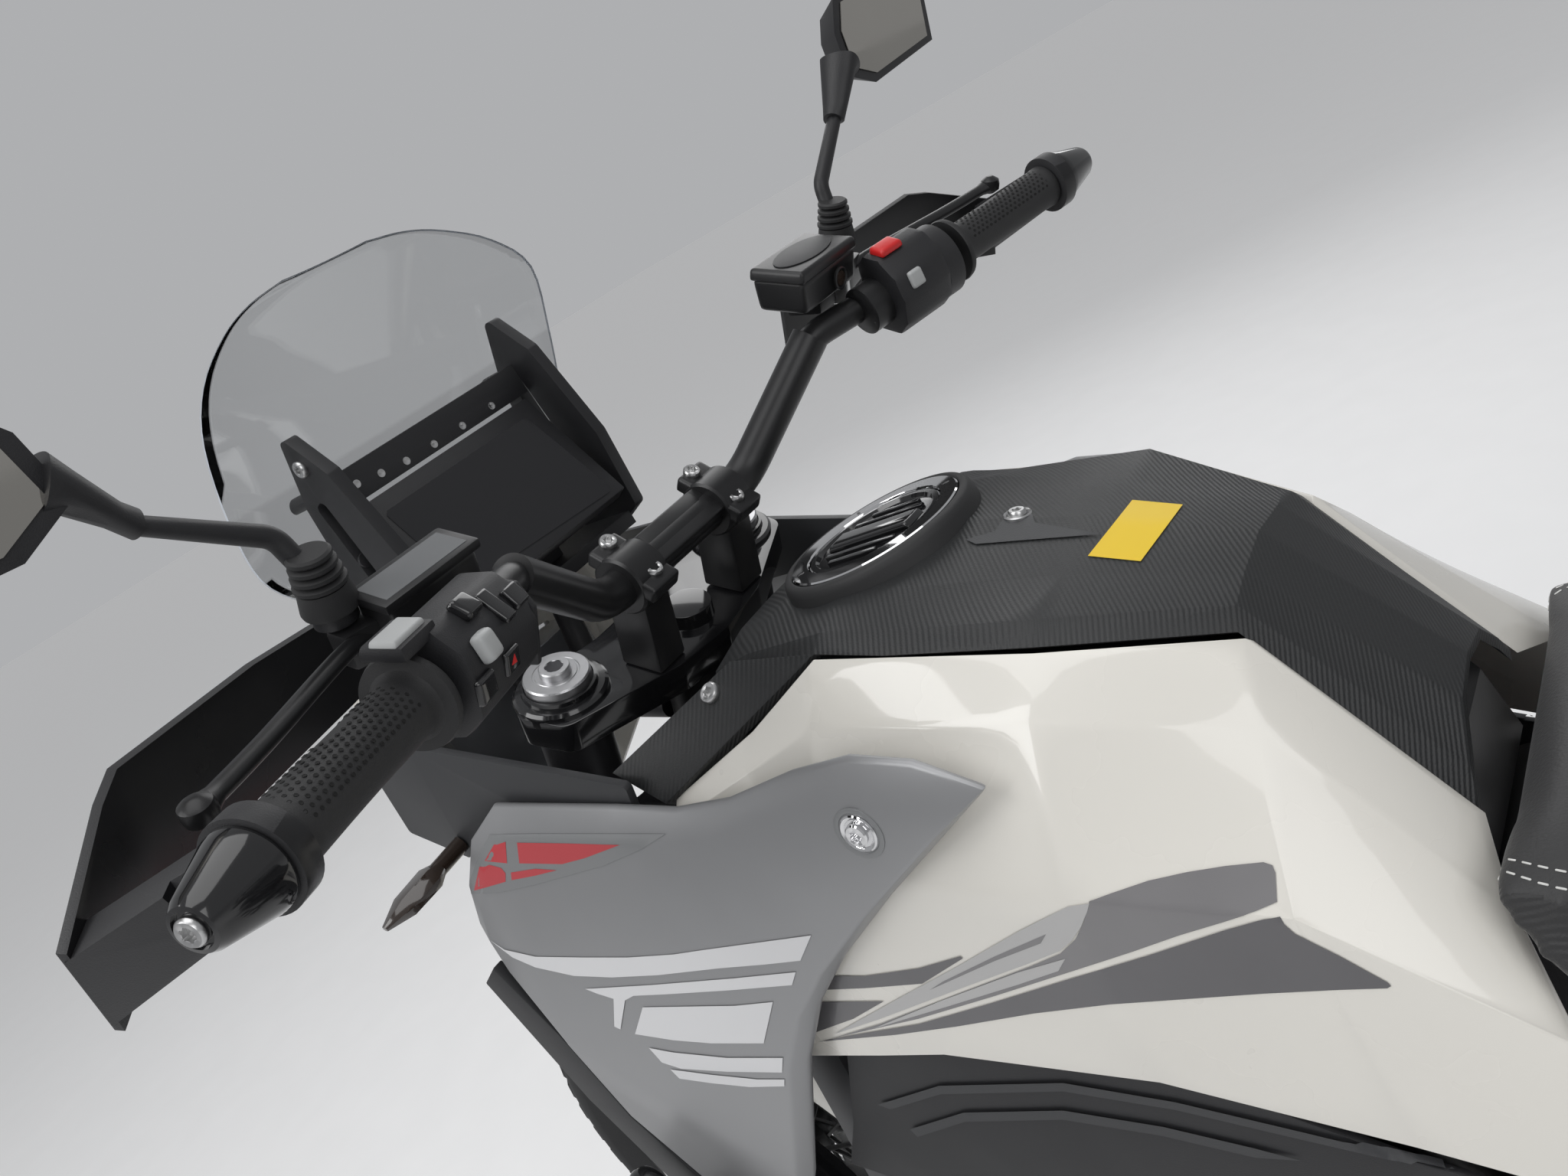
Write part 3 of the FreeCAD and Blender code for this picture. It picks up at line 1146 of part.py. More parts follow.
def make_screen_brackets():
    outline = [(151, 276), (122, 236), (104, 150), (110, 80), (160, 60), (194, 62), (196, 130),
               (180, 220)]
    slot = plate([(152, 222), (144, 120), (160, 118), (166, 218)], 96, 116, 6)
    bracket = plate(outline, 101, 112, 6).cut(slot)
    bar = Part.makeBox(10, 202, 26, Vector(152, -101, 206))
    low_bar = Part.makeBox(70, 202, 12, Vector(122, -101, 66))
    cross = rod(Vector(216, -122.2, 72), Vector(216, 122.2, 72), 7)
    here = COCKPIT.inverse()
    root = here.multVec(steering_point(size.head_tube_radius + 0.3, 0, -96))
    stay = pipe([root + Y_AXIS * 12, Vector(178, 14, -38), Vector(216, 60, 72)], 11, 40)
    tie = Part.makeBox(40, 14, 8, Vector(182, 60, 68))
    head = rod(here.multVec(steering_point(0, 0, 20)), here.multVec(steering_point(0, 0, -220)),
               size.head_tube_radius + 0.3)
    near_screen = windscreen_shape()
    near_screen.translate(X_AXIS * -0.3)
    pins = []
    for z in (168, 226):
        pin = rod(Vector(160, 106, z), Vector(300, 106, z), 6).cut(near_screen)
        pins.append(min(pin.Solids, key=lambda solid: solid.CenterOfMass.x))
    parts = [bracket, mirrored(bracket), bar, low_bar, cross, stay, mirrored(stay), tie, mirrored(tie)]
    brackets = fused(parts + pins + [mirrored(pin) for pin in pins]).cut(head)
    feature("screen_brackets", largest(brackets), COCKPIT)


def make_display():
    top, low = Vector(146, 0, 202), Vector(98, 0, 103)
    centre = (top + low) * 0.5
    tilt = math.degrees(math.atan2(top.x - low.x, top.z - low.z))
    case = box("display_case", "display_depth", "display_width", "display_height",
               centre + Vector(8, 0, -4), Rotation(Y_AXIS, tilt))
    stem = box("display_stem", 34, 90, 60, centre + Vector(22, 0, -26), Rotation(Y_AXIS, tilt))
    post = box("display_post", 22, 76, 60, Vector(160, 0, 78.3 + 30))
    piece(joined("display", [case, stem, post]), "display", COCKPIT)


def make_cockpit_panels():
    outline = [(-65, -14), (161, 39), (236, 42), (254, -43), (190, -71), (80, -44), (-56, -40)]
    pins = []
    for x, z in ((-36, -33), (60, -32)):
        behind = shroud_side(COCKPIT.Base.x + x, COCKPIT.Base.z + z)
        pins.append(rod(Vector(x, 167, z), Vector(x, behind - 0.9, z), 5))
    feature("cockpit_panels", both_sides(fused([plate(outline, 163, 169, 4)] + pins)), COCKPIT)


# Guards
def largest(shape):
    """The biggest solid of a shape that a cut has parted."""
    return max(shape.Solids, key=lambda solid: solid.Volume)


def make_crash_bars():
    engine_side = size.crank_half_width - 30
    path = [Vector(915, engine_side, 288), Vector(915, 150, 288), Vector(1010, 205, 330),
            Vector(1160, 238, 500), Vector(1290, 238, 678), Vector(1272, 236, 598),
            Vector(1222, 186, 522), Vector(1010, 124, 462), Vector(992, 112, 458)]
    bar = pipe(path, size.crash_bar_radius, 50)
    bar = bar.cut(pipe(DOWN_TUBE, size.main_tube_radius - 3 + 0.3, 60))
    feature("crash_bars", both_sides(bar.Solids[0] if len(bar.Solids) == 1 else largest(bar)))


def make_foot_pegs():
    plate_outer = size.arm_inner + size.arm_width + 4 + size.pivot_plate_thickness
    hanger = plate([(488, 392), (532, 385), (522, 324), (462, 328)], plate_outer, plate_outer + 10, 8)
    peg = Part.makeBox(44, 92, 16, Vector(468, plate_outer + 10, 330))
    rear_peg = Part.makeBox(30, 80, 14, Vector(216, 154, 450))
    rear_hanger = plate([(428, 586), (452, 560), (252, 440), (210, 442)], 144, 154, 8)
    side = fused([hanger, peg])
    rear = fused([rear_peg, rear_hanger])
    feature("foot_pegs", Part.makeCompound([side, mirrored(side), rear, mirrored(rear)]))


# Stands
def make_centre_stand():
    """Two splayed legs on one pivot, a cross tube, feet and a lever."""
    pivot = Vector(size.stand_pivot_x, 0, size.stand_pivot_z)
    radius = size.stand_tube_radius
    foot_x = pivot.x + size.stand_lead
    top = Vector(pivot.x, 112, pivot.z)
    low = Vector(foot_x, 152, radius + 4)
    leg = rod(top, low, radius)
    eye = rod(Vector(pivot.x, 98, pivot.z), Vector(pivot.x, 134, pivot.z), 18)
    hole = rod(Vector(pivot.x, 80, pivot.z), Vector(pivot.x, 160, pivot.z), 9.3)
    foot = Part.makeBox(70, 46, 8, Vector(foot_x - 35, 130, 0))
    foot_web = Part.makeBox(24, 30, 20, Vector(foot_x - 12, 138, 6))
    share = 0.34
    cross_at = top + (low - top) * share
    cross = rod(Vector(cross_at.x, -cross_at.y, cross_at.z), cross_at, 11)
    lever = pipe([low + Vector(0, 0, 26), low + Vector(-30, 14, 34), low + Vector(-60, 26, 36)], 8, 12)
    side = fused([leg, eye, foot, foot_web])
    stand = fused([side, mirrored(side), cross, lever]).cut(hole).cut(mirrored(hole))
    feature("centre_stand", stand)


SIDE_STAND_LENGTH = 240.0


def make_side_stand():
    """The leg folded back along the frame, its foot pad beyond it."""
    end = SIDE_STAND_PIVOT + STAND_FOLDED * SIDE_STAND_LENGTH
    leg = rod(SIDE_STAND_PIVOT, end, 11)
    boss = rod(SIDE_STAND_PIVOT - STAND_AXIS * 12, SIDE_STAND_PIVOT + STAND_AXIS * 12, 18)
    bore = rod(SIDE_STAND_PIVOT - STAND_AXIS * 14, SIDE_STAND_PIVOT + STAND_AXIS * 14, 6.3)
    foot = box("side_stand_foot", 12, 44, 70, end, Rotation(Z_AXIS, -5))
    shape = solid_object("side_stand_leg", leg.fuse(boss).cut(bore))
    piece(joined("side_stand", [shape, foot]), "side_stand")


# Steering
def make_triple_clamps():
    """Two bridges across the fork legs and the stem between them."""
    reach = size.fork_spacing
    offset = size.fork_offset
    hole = size.fork_tube_radius

    def bridge(low, high):
        outline = [(offset + 34, reach + 20), (offset + 8, reach + 36), (offset - 30, reach + 30),
                   (-30, 50), (-36, 0), (-30, -50), (offset - 30, -reach - 30),
                   (offset + 8, -reach - 36), (offset + 34, -reach - 20), (offset + 16, -50),
                   (offset + 16, 50)]
        return plate_flat(outline, low, high, 14)
    top = bridge(-32, -8)
    low = bridge(-206, -170)
    stem = Part.makeCylinder(size.head_tube_radius - 12.3, 190, Vector(0, 0, -196))
    nut = Part.makeCylinder(19, 12, Vector(0, 0, -8))
    shape = fused([top, low, stem, nut])
    for side in (-1, 1):
        shape = shape.cut(Part.makeCylinder(hole, 260, Vector(offset, side * reach, -230)))
    feature("triple_clamps", shape, HEAD_FRAME)


def make_fork():
    """Cap, upper tube, slider and axle foot of each leg, and the axle."""
    offset, reach = size.fork_offset, size.fork_spacing
    parts = []
    for i, side in enumerate((-1, 1)):
        top = Vector(offset, side * reach, 0)
        parts.append(cylinder("fork_cap_%d" % i, "fork_cap_radius", 8, top))
        parts.append(cylinder("fork_hex_%d" % i, 11, 6, top + Z_AXIS * 8))
        parts.append(cylinder("fork_tube_%d" % i, "fork_tube_radius", "fork_tube_length",
                              top - Z_AXIS * size.fork_tube_length))
        parts.append(cylinder("fork_slider_%d" % i, "fork_slider_radius",
                              FORK_LENGTH - size.fork_tube_length - 10,
                              top - Z_AXIS * (FORK_LENGTH - 10)))
        parts.append(box("fork_foot_%d" % i, 58, 46, 84, top - Z_AXIS * (FORK_LENGTH - 8)))
        parts.append(cylinder("axle_spacer_%d" % i, 16, 12,
                              Vector(offset, 0, -FORK_LENGTH) + Y_AXIS
                              * (side * (size.front_disc_plane + 10) - 6), Y_AXIS))
    parts.append(cylinder("front_axle", "axle_radius", 2 * reach + 56,
                          Vector(offset, -reach - 28, -FORK_LENGTH), Y_AXIS))
    piece(joined("fork_legs", parts), "fork_legs", HEAD_FRAME)


# Handlebar run on the left: side, ahead of the steering axis, above the cap level
BAR_RUN = ((0, -6, 64), (86, -6, 64), (168, -30, 146), (286, -88, 170))


def bar_points():
    points = [Vector(ahead, side, up) for side, ahead, up in BAR_RUN]
    along = Vector(-55.2, 145, 28.3).normalize()
    end = points[-1] + along * ((size.bar_half_width - points[-1].y) / along.y)
    return points, end, along


def bar_tubes(extra=0.0):
    """The middle of the bar across both bends, and its left end."""
    points, end, along = bar_points()
    middle = pipe([Vector(p.x, -p.y, p.z) for p in points[:0:-1]][1:] + points[:3],
                  size.bar_middle_radius + extra, 46)
    return middle, pipe(points[1:] + [end], size.bar_end_radius + extra, 46)


def make_handlebar():
    middle, outer = bar_tubes()
    feature("handlebar", fused([middle, outer, mirrored(outer)]), HEAD_FRAME)


def make_bar_clamp():
    """Two risers, their caps and the block that joins the caps."""
    height = BAR_RUN[0][2]
    centre = Vector(-6, 0, height)
    parts = []
    for side in (-1, 1):
        parts.append(Part.makeBox(38, 30, height - 6, Vector(-25, side * 52 - 15, -8)))
        parts.append(Part.makeBox(56, 30, 34, Vector(-34, side * 52 - 15, height - 14)))
    parts.append(Part.makeBox(34, 76, 10, Vector(-23, -38, height + 10)))
    block = fused(parts)
    bore = Part.makeCylinder(size.bar_middle_radius + 0.05, 140, centre - Y_AXIS * 70, Y_AXIS)
    feature("bar_clamp", block.cut(bore), HEAD_FRAME)


GRIP_START = 5.0


def make_grips():
    points, end, along = bar_points()
    start = points[-1] + along * GRIP_START
    finish = start + along * size.grip_length
    flange = rod(start, start + along * 5, size.grip_radius + 9)
    grip = rod(start, finish, size.grip_radius)
    core = rod(points[-1], end, size.bar_end_radius + 0.05)
    left = fused([flange, grip]).cut(core)
    outside = finish + along * size.guard_collar
    weight = Part.makeCone(size.grip_radius + 5, size.grip_radius - 1, size.bar_weight_length,
                           outside, along).cut(core)
    feature("grips", both_sides(left), HEAD_FRAME)
    feature("bar_ends", both_sides(weight), HEAD_FRAME)


def switches():
    points, end, along = bar_points()
    back = points[-1]
    bore = pipe(points[1:] + [end], size.bar_end_radius + 0.05, 46)
    turn = Rotation(Y_AXIS, along)
    frame = Placement(back - along * 34, turn)
    left = Part.makeBox(58, 58, 60, Vector(-30, -29, -30))
    thumb = Part.makeBox(22, 50, 26, Vector(-46, -20, 0))
    left = left.fuse(thumb)
    left.Placement = frame
    left = left.cut(bore)
    right = Part.makeBox(52, 50, 52, Vector(-27, -22, -28))
    right.Placement = frame
    right = mirrored(right.cut(bore))
    return [left, right]


def make_bar_controls():
    """Brake reservoir and master cylinder, right; clutch perch and cable adjuster, left."""
    points, end, along = bar_points()
    back = points[-1] - along * 78
    clamp = Part.makeBox(44, 26, 44, back + Vector(-18, -14, -22))
    body = Part.makeBox(48, 110, 26, back + Vector(22, -48, -6))
    cup = Part.makeBox(50, 82, 34, back + Vector(12, -72, 18))
    right = fused([clamp, body, cup])
    perch = fused([clamp, Part.makeBox(48, 96, 24, back + Vector(22, -34, -4))])
    middle, tube = bar_tubes(0.05)
    parts = [mirrored(fused([right, lever()]).cut(tube).cut(middle)),
             fused([perch, lever()]).cut(tube).cut(middle)]
    feature("bar_controls", Part.makeCompound(parts + switches()), HEAD_FRAME)


def lever():
    points, end, along = bar_points()
    root = points[-1] - along * 62 + Vector(46, 0, 2)
    blade = pipe([root, root + along * 40 + Vector(14, 0, 0), root + along * 130 + Vector(6, 0, -2),
                  root + along * 182 + Vector(2, 0, -2)], 6.5, 30)
    knuckle = rod(root - Z_AXIS * 9, root + Z_AXIS * 9, 11)
    return blade.fuse(knuckle)


# Left shield: side, ahead of the steering axis, lower and upper edge
HANDGUARD = ((236, 42, 98, 152), (300, 32, 98, 163), (390, 0, 112, 181), (406, -12, 112, 178),
             (456, -50, 106, 157))


def make_handguards():
    """A shield ahead of each grip, carried from the bar end and the perch."""
    points, end, along = bar_points()
    collar_at = points[-1] + along * (GRIP_START + size.grip_length + 0.2)
    collar = rod(collar_at, collar_at + along * (size.guard_collar - 0.4), size.grip_radius + 6)
    sections = []
    for side, ahead, low, high in HANDGUARD:
        sections.append([Vector(ahead, side, low), Vector(ahead, side, high),
                         Vector(ahead - 5, side - 2, high), Vector(ahead - 5, side - 2, low)])
    shield = loft(sections)
    middle = collar_at + along * (size.guard_collar / 2)
    tip = Vector(-46, 448, 132)
    beam = loft([[tip + Vector(8, -6, -22), tip + Vector(8, -6, 20), tip + Vector(-6, 8, 20),
                  tip + Vector(-6, 8, -22)],
                 [middle + Vector(6, -6, -16), middle + Vector(6, -6, 16), middle + Vector(-6, 4, 16),
                  middle + Vector(-6, 4, -16)]])
    bore = rod(points[-1], end + along * 60, size.bar_end_radius + 0.05)
    past = rod(middle + along * (size.guard_collar / 2 - 0.2), middle + along * 80, 40)
    before = rod(middle - along * 60, middle - along * (size.guard_collar / 2 - 0.2), 21)
    guard = fused([collar, beam.cut(past).cut(before), shield]).cut(bore)
    feature("handguards", both_sides(largest(guard)), HEAD_FRAME)


def make_mirrors():
    """Stem, boot and angular head of each mirror."""
    base = Vector(-5, 263, 196)
    bend = Vector(8, 269, 228)
    stem_end = Vector(20, 320, 262)
    head = Vector(22, 400, 292)
    boot_end = Vector(24, 346, 278)
    stem = pipe([base, bend, stem_end], 6, 14)
    boot = Part.makeCone(9, 17, (boot_end - stem_end).Length, stem_end, boot_end - stem_end)
    nut = Part.makeCylinder(12, 24, base - Z_AXIS * 19.6)
    outline = [(-60, -26), (-28, -40), (84, -32), (100, 6), (72, 38), (-38, 32), (-56, 8)]
    face = [Vector(0, side, up) for side, up in outline]
    back = [Vector(26, 0.72 * side, 0.72 * up) for side, up in outline]
    shell = loft([face, back])
    shell.Placement = Placement(head, Rotation(Y_AXIS, 22))
    side = fused([stem, boot, nut, shell])
    feature("mirrors", both_sides(side), HEAD_FRAME)


def make_front_fender():
    """A shell over the tyre, bolted between the fork legs."""
    radius, half = FRONT_RADIUS, size.front_tyre_width / 2
    outer = [(radius + 28, 0), (radius + 24, 0.62 * half), (radius + 10, half + 10),
             (radius - 26, half + 13)]
    inner = [(radius + 24, 0), (radius + 20, 0.58 * half), (radius + 8, half + 6),
             (radius - 26, half + 9)]
    ring = ([Vector(r, side, 0) for r, side in outer] + [Vector(r, side, 0) for r, side in inner[::-1]]
            + [Vector(r, -side, 0) for r, side in inner[1:]]
            + [Vector(r, -side, 0) for r, side in outer[:0:-1]])
    face = Part.Face(Part.makePolygon(ring + ring[:1]))
    face.rotate(ORIGIN, Y_AXIS, -52 + size.rake)
    shell = face.revolve(ORIGIN, Y_AXIS, -92)
    axle = Vector(size.fork_offset, 0, -FORK_LENGTH)
    shell.translate(axle)
    lug = Part.makeBox(34, 24, 34, axle + Vector(-17, half + 10, radius - 28))
    feature("front_fender", fused([shell, lug, mirrored(lug)]).cut(fork_legs_space()), HEAD_FRAME)


def fork_legs_space():
    """Room for both fork legs, sliders and tubes, in the head's frame."""
    rooms = []
    for side in (-1, 1):
        top = Vector(size.fork_offset, side * size.fork_spacing, 0)
        rooms.append(rod(top, top - Z_AXIS * FORK_LENGTH, size.fork_slider_radius + 0.3))
        rooms.append(rod(top, top - Z_AXIS * (size.fork_tube_length + 0.3), size.fork_tube_radius + 0.3))
    return fused(rooms)


def caliper(plane, inner, outer, start, end, disc_radius):
    """Two halves astride a disc, joined beyond its rim."""
    half = size.disc_thickness / 2 + size.disc_gap
    block = sector(inner, outer, plane - half - 14, plane + half + 14, start, end)
    slot = sector(inner - 5, disc_radius + size.disc_gap, plane - half, plane + half, start - 5, end + 5)
    return block.cut(slot)


def make_calipers():
    front = caliper(size.front_disc_plane, 108, 182, 131, 168, size.front_disc_radius)
    half = size.disc_thickness / 2 + size.disc_gap
    lug = sector(114, 176, size.front_disc_plane + half, size.fork_spacing + 8, 112, 136)
    up = HEAD_FRAME.Rotation.multVec(Z_AXIS)
    leg = rod(Y_AXIS * size.fork_spacing, Y_AXIS * size.fork_spacing + up * 300,
              size.fork_slider_radius + 0.3)
    front = largest(fused([front, lug]).cut(leg))
    feature("front_calipers", both_sides(front), Placement(FRONT_AXLE, Rotation()))
    rear = caliper(-size.rear_disc_plane, 80, 150, 38, 74, size.rear_disc_radius)
    outside = size.rear_disc_plane + size.disc_thickness / 2 + size.disc_gap
    carrier = sector(17.3, 84, -size.arm_inner + 0.3, -outside, 38, 74)
    feature("rear_caliper", rear.fuse(carrier), Placement(REAR_AXLE, Rotation()))


for build in (make_front_wheel, make_front_discs, make_rear_wheel, make_rear_sprocket, make_chain,
              make_frame, make_swingarm, make_rear_shock, make_engine, make_radiator, make_exhaust,
              make_skid_plate, make_tank_sides, make_tank_cover, make_tank_core,
              make_filler, make_shrouds, make_side_covers, make_seats, make_tail, make_rack,
              make_rear_fender, make_tail_lamp, make_indicators, make_nose, make_windscreen,
              make_screen_brackets, make_display, make_cockpit_panels, make_crash_bars,
              make_foot_pegs, make_centre_stand, make_side_stand, make_triple_clamps, make_fork,
              make_handlebar, make_bar_clamp, make_grips, make_bar_controls, make_handguards, make_mirrors, make_front_fender, make_calipers):
    build()
doc.recompute()

failed = [obj.Label for obj in doc.Objects if "Invalid" in obj.State or "Error" in obj.State]
bad = [obj.Label for obj in PIECES
       if obj.Shape.isNull() or not obj.Shape.isValid() or not obj.Shape.Solids]
if failed or bad:
    raise RuntimeError("failed: %s, bad shape: %s" % (failed, bad))
os.makedirs("parts", exist_ok=True)
for obj in PIECES:
    obj.Shape.exportStep("parts/%s.step" % obj.Label)
print(len(PIECES), "pieces written")
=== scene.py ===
import json
import math

import bmesh
import bpy
from mathutils import Matrix, Vector
from mathutils.bvhtree import BVHTree
from mathutils.geometry import delaunay_2d_cdt

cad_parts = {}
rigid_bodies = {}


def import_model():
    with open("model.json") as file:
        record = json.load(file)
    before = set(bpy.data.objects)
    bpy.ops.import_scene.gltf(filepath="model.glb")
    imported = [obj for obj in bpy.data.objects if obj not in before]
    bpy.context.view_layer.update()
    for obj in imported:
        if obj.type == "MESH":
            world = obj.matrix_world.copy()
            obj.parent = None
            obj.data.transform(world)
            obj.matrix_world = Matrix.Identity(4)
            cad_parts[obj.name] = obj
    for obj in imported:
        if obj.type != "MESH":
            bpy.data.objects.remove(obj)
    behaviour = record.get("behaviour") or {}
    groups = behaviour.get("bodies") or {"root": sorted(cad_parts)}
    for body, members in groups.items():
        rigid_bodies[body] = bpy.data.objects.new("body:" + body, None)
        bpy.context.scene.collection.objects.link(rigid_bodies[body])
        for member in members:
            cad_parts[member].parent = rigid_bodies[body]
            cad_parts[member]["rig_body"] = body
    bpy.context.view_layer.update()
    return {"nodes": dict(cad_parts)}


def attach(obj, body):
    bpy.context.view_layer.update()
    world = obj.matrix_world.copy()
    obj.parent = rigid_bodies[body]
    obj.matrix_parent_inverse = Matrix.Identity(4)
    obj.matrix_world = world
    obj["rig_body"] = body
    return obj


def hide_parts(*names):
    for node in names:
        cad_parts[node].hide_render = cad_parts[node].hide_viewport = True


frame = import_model()
NODES = frame["nodes"]
BODY_OF = {name: node["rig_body"] for name, node in NODES.items()}

# From the part's own drawing to the shared frame, along x in metres
SHIFT = -0.718978

# Camera of the photograph, in metres, with its focal length and frame in pixels
CAMERA_AT = Vector((0.4686 + SHIFT, 0.5310, 1.2575))
LOOK = Vector((0.698, -0.653, -0.295)).normalized()
DOWN = LOOK.cross(Vector((-0.697, -0.523, -0.490)).normalized()).normalized()
RIGHT = DOWN.cross(LOOK).normalized()
FOCAL = 1538.7
FRAME_WIDTH, FRAME_HEIGHT = 2048, 1536
SENSOR_WIDTH = 36.0


def linked(name, data):
    """A new object in the scene."""
    obj = bpy.data.objects.new(name, data)
    bpy.context.scene.collection.objects.link(obj)
    return obj


lens = bpy.data.cameras.new("photo_camera")
lens.sensor_width = SENSOR_WIDTH
lens.lens = FOCAL / FRAME_WIDTH * SENSOR_WIDTH
lens.clip_start = 0.01
lens.clip_end = 100
camera = linked("photo_camera", lens)
camera.matrix_world = Matrix.Translation(CAMERA_AT) @ Matrix((RIGHT, -DOWN, -LOOK)).transposed().to_4x4()
bpy.context.scene.camera = camera


# Materials
BROAD_SCALE = 9.0
NOISE_MIDDLE = (0.3, 0.7)
PAINT_IOR, GLASS_IOR = 1.5, 1.45
BUMP_DEPTH = 0.0004


def wire(tree, node, inputs):
    """Sets a node's inputs to values, or links them to other nodes' outputs."""
    for label, value in inputs.items():
        if isinstance(value, bpy.types.NodeSocket):
            tree.links.new(value, node.inputs[label])
        else:
            node.inputs[label].default_value = value
    return node


def new_node(tree, kind, inputs, output, **settings):
    """The output of a new shader node with its settings and inputs."""
    node = tree.nodes.new("ShaderNode" + kind)
    for label, value in settings.items():
        setattr(node, label, value)
    return wire(tree, node, inputs).outputs[output]


def new_material(name):
    """A material with its node tree and the place on its object."""
    mat = bpy.data.materials.new(name)
    mat.use_nodes = True
    return mat, mat.node_tree, new_node(mat.node_tree, "TexCoord", {}, "Object")


def ranged(tree, value, low, high, within=(0.0, 1.0)):
    """A value carried from one range to another."""
    inputs = {"Value": value, "From Min": within[0], "From Max": within[1], "To Min": low, "To Max": high}
    return new_node(tree, "MapRange", inputs, "Result")


def surface(name, color, rough, metal=0.0, grain=None, spread=0.06, coat=0.0, coat_rough=0.05, wave=None,
            sheen=0.0):
    """A finish with uneven colour and gloss, a grain's depth and scale, and a wave's way and scale."""
    mat, tree, where = new_material(name)
    broad = new_node(tree, "TexNoise", {"Vector": where, "Scale": BROAD_SCALE, "Detail": 4.0}, "Fac")
    tint = ranged(tree, broad, 1.0 - spread, 1.0 + spread, NOISE_MIDDLE)
    shade = new_node(tree, "VectorMath", {0: color, "Scale": tint}, "Vector", operation="SCALE")
    gloss = ranged(tree, broad, max(0.02, rough - 0.05), rough + 0.05, NOISE_MIDDLE)
    shader = wire(tree, tree.nodes["Principled BSDF"], {
        "Metallic": metal, "IOR": PAINT_IOR, "Coat Weight": coat, "Coat Roughness": coat_rough,
        "Sheen Weight": sheen, "Base Color": shade, "Roughness": gloss})
    if grain:
        height = new_node(tree, "TexNoise", {"Vector": where, "Scale": grain[1], "Detail": 2.0}, "Fac")
        if wave:
            inputs = {"Vector": where, "Scale": wave[1], "Distortion": 0.0}
            rows = new_node(tree, "TexWave", inputs, "Fac", bands_direction=wave[0])
            height = new_node(tree, "Math", {0: height, 1: rows}, "Value", operation="ADD")
        inputs = {"Strength": grain[0], "Distance": BUMP_DEPTH, "Height": height}
        wire(tree, shader, {"Normal": new_node(tree, "Bump", inputs, "Normal")})
    return mat


def glass(name, tint, rough):
    """Clear glass with a slight haze."""
    mat, tree, where = new_material(name)
    haze = new_node(tree, "TexNoise", {"Vector": where, "Scale": 14.0}, "Fac")
    wire(tree, tree.nodes["Principled BSDF"], {
        "Base Color": (*tint, 1), "Transmission Weight": 1.0, "IOR": GLASS_IOR,
        "Roughness": ranged(tree, haze, rough, rough + 0.02)})
    return mat


PLASTIC = surface("black_plastic", (0.016, 0.016, 0.018), 0.5, grain=(0.35, 1400))
COVER = surface("cover_plastic", (0.022, 0.023, 0.024), 0.48, grain=(0.55, 1100), wave=("DIAGONAL", 150.0))
GUARD = surface("guard_plastic", (0.026, 0.026, 0.028), 0.55, grain=(0.4, 1200))
# The guard plastic made darker for the handguards' inside: painted shade, with a finer grain and more gloss
GUARD_SHADED_INSIDE = surface("guard_inside_painted_shade", (0.008, 0.008, 0.009), 0.3, grain=(0.1, 2000))
PANEL = surface("panel_grey", (0.036, 0.037, 0.04), 0.48, grain=(0.3, 1200))
PEARL = surface("pearl_white", (0.8, 0.775, 0.715), 0.28, spread=0.012, coat=0.9, grain=(0.03, 3000))
SATIN = surface("satin_grey", (0.34, 0.342, 0.35), 0.4, metal=0.55, spread=0.02, coat=0.15,
                coat_rough=0.3, grain=(0.04, 2600))
GLOSS = surface("gloss_black", (0.01, 0.01, 0.011), 0.12, spread=0.1, coat=0.6)
SATIN_BLACK = surface("satin_black", (0.018, 0.018, 0.019), 0.34, metal=0.2, grain=(0.12, 1600))
FRAME = surface("frame_black", (0.02, 0.02, 0.021), 0.36, metal=0.1, grain=(0.15, 900))
CAST = surface("dark_casting", (0.1, 0.1, 0.105), 0.55, metal=0.7, grain=(0.6, 700))
ALLOY = surface("alloy", (0.52, 0.52, 0.53), 0.32, metal=0.95, grain=(0.12, 1500))
STEEL = surface("steel", (0.6, 0.6, 0.6), 0.28, metal=1.0, grain=(0.08, 2000))
DARK_ALLOY = surface("dark_alloy", (0.055, 0.055, 0.06), 0.38, metal=0.6, grain=(0.2, 1300))
PIPE = surface("exhaust_steel", (0.42, 0.39, 0.36), 0.3, metal=1.0, spread=0.12, grain=(0.08, 900))
CHROME = surface("chrome", (0.82, 0.82, 0.83), 0.05, metal=1.0, spread=0.01)
RUBBER = surface("rubber", (0.022, 0.022, 0.023), 0.62, grain=(0.3, 1500))
TYRE = surface("tyre_rubber", (0.02, 0.02, 0.021), 0.72, grain=(0.5, 500), spread=0.15)
SEAT = surface("seat_top", (0.024, 0.024, 0.025), 0.55, grain=(0.7, 650), sheen=0.15)
SEAT_RIB = surface("seat_side", (0.02, 0.02, 0.021), 0.6, grain=(0.6, 900), wave=("Y", 190.0), sheen=0.2)
SCREEN_GLASS = glass("screen_glass", (0.97, 0.98, 0.985), 0.02)
LAMP_FACE = surface("lamp_face", (0.3, 0.31, 0.33), 0.12, metal=0.6, spread=0.15, coat=1.0)
RED_LENS = surface("red_lens", (0.45, 0.012, 0.012), 0.12, coat=0.8)
AMBER = surface("smoke_lens", (0.03, 0.02, 0.015), 0.12, coat=0.8)
DISPLAY = surface("display_black", (0.01, 0.01, 0.012), 0.22, spread=0.02, coat=0.2, coat_rough=0.2)
SPRING = surface("spring_paint", (0.45, 0.02, 0.02), 0.3, coat=0.4)
MIRROR = surface("mirror_glass", (0.52, 0.5, 0.46), 0.03, metal=1.0, spread=0.02)
KEY_GREY = surface("key_grey", (0.42, 0.43, 0.43), 0.42, grain=(0.1, 2500), spread=0.02)
KEY_RED = surface("key_red", (0.62, 0.02, 0.02), 0.35, spread=0.02)
LABEL = surface("blank_label", (0.8, 0.55, 0.02), 0.45, spread=0.02)
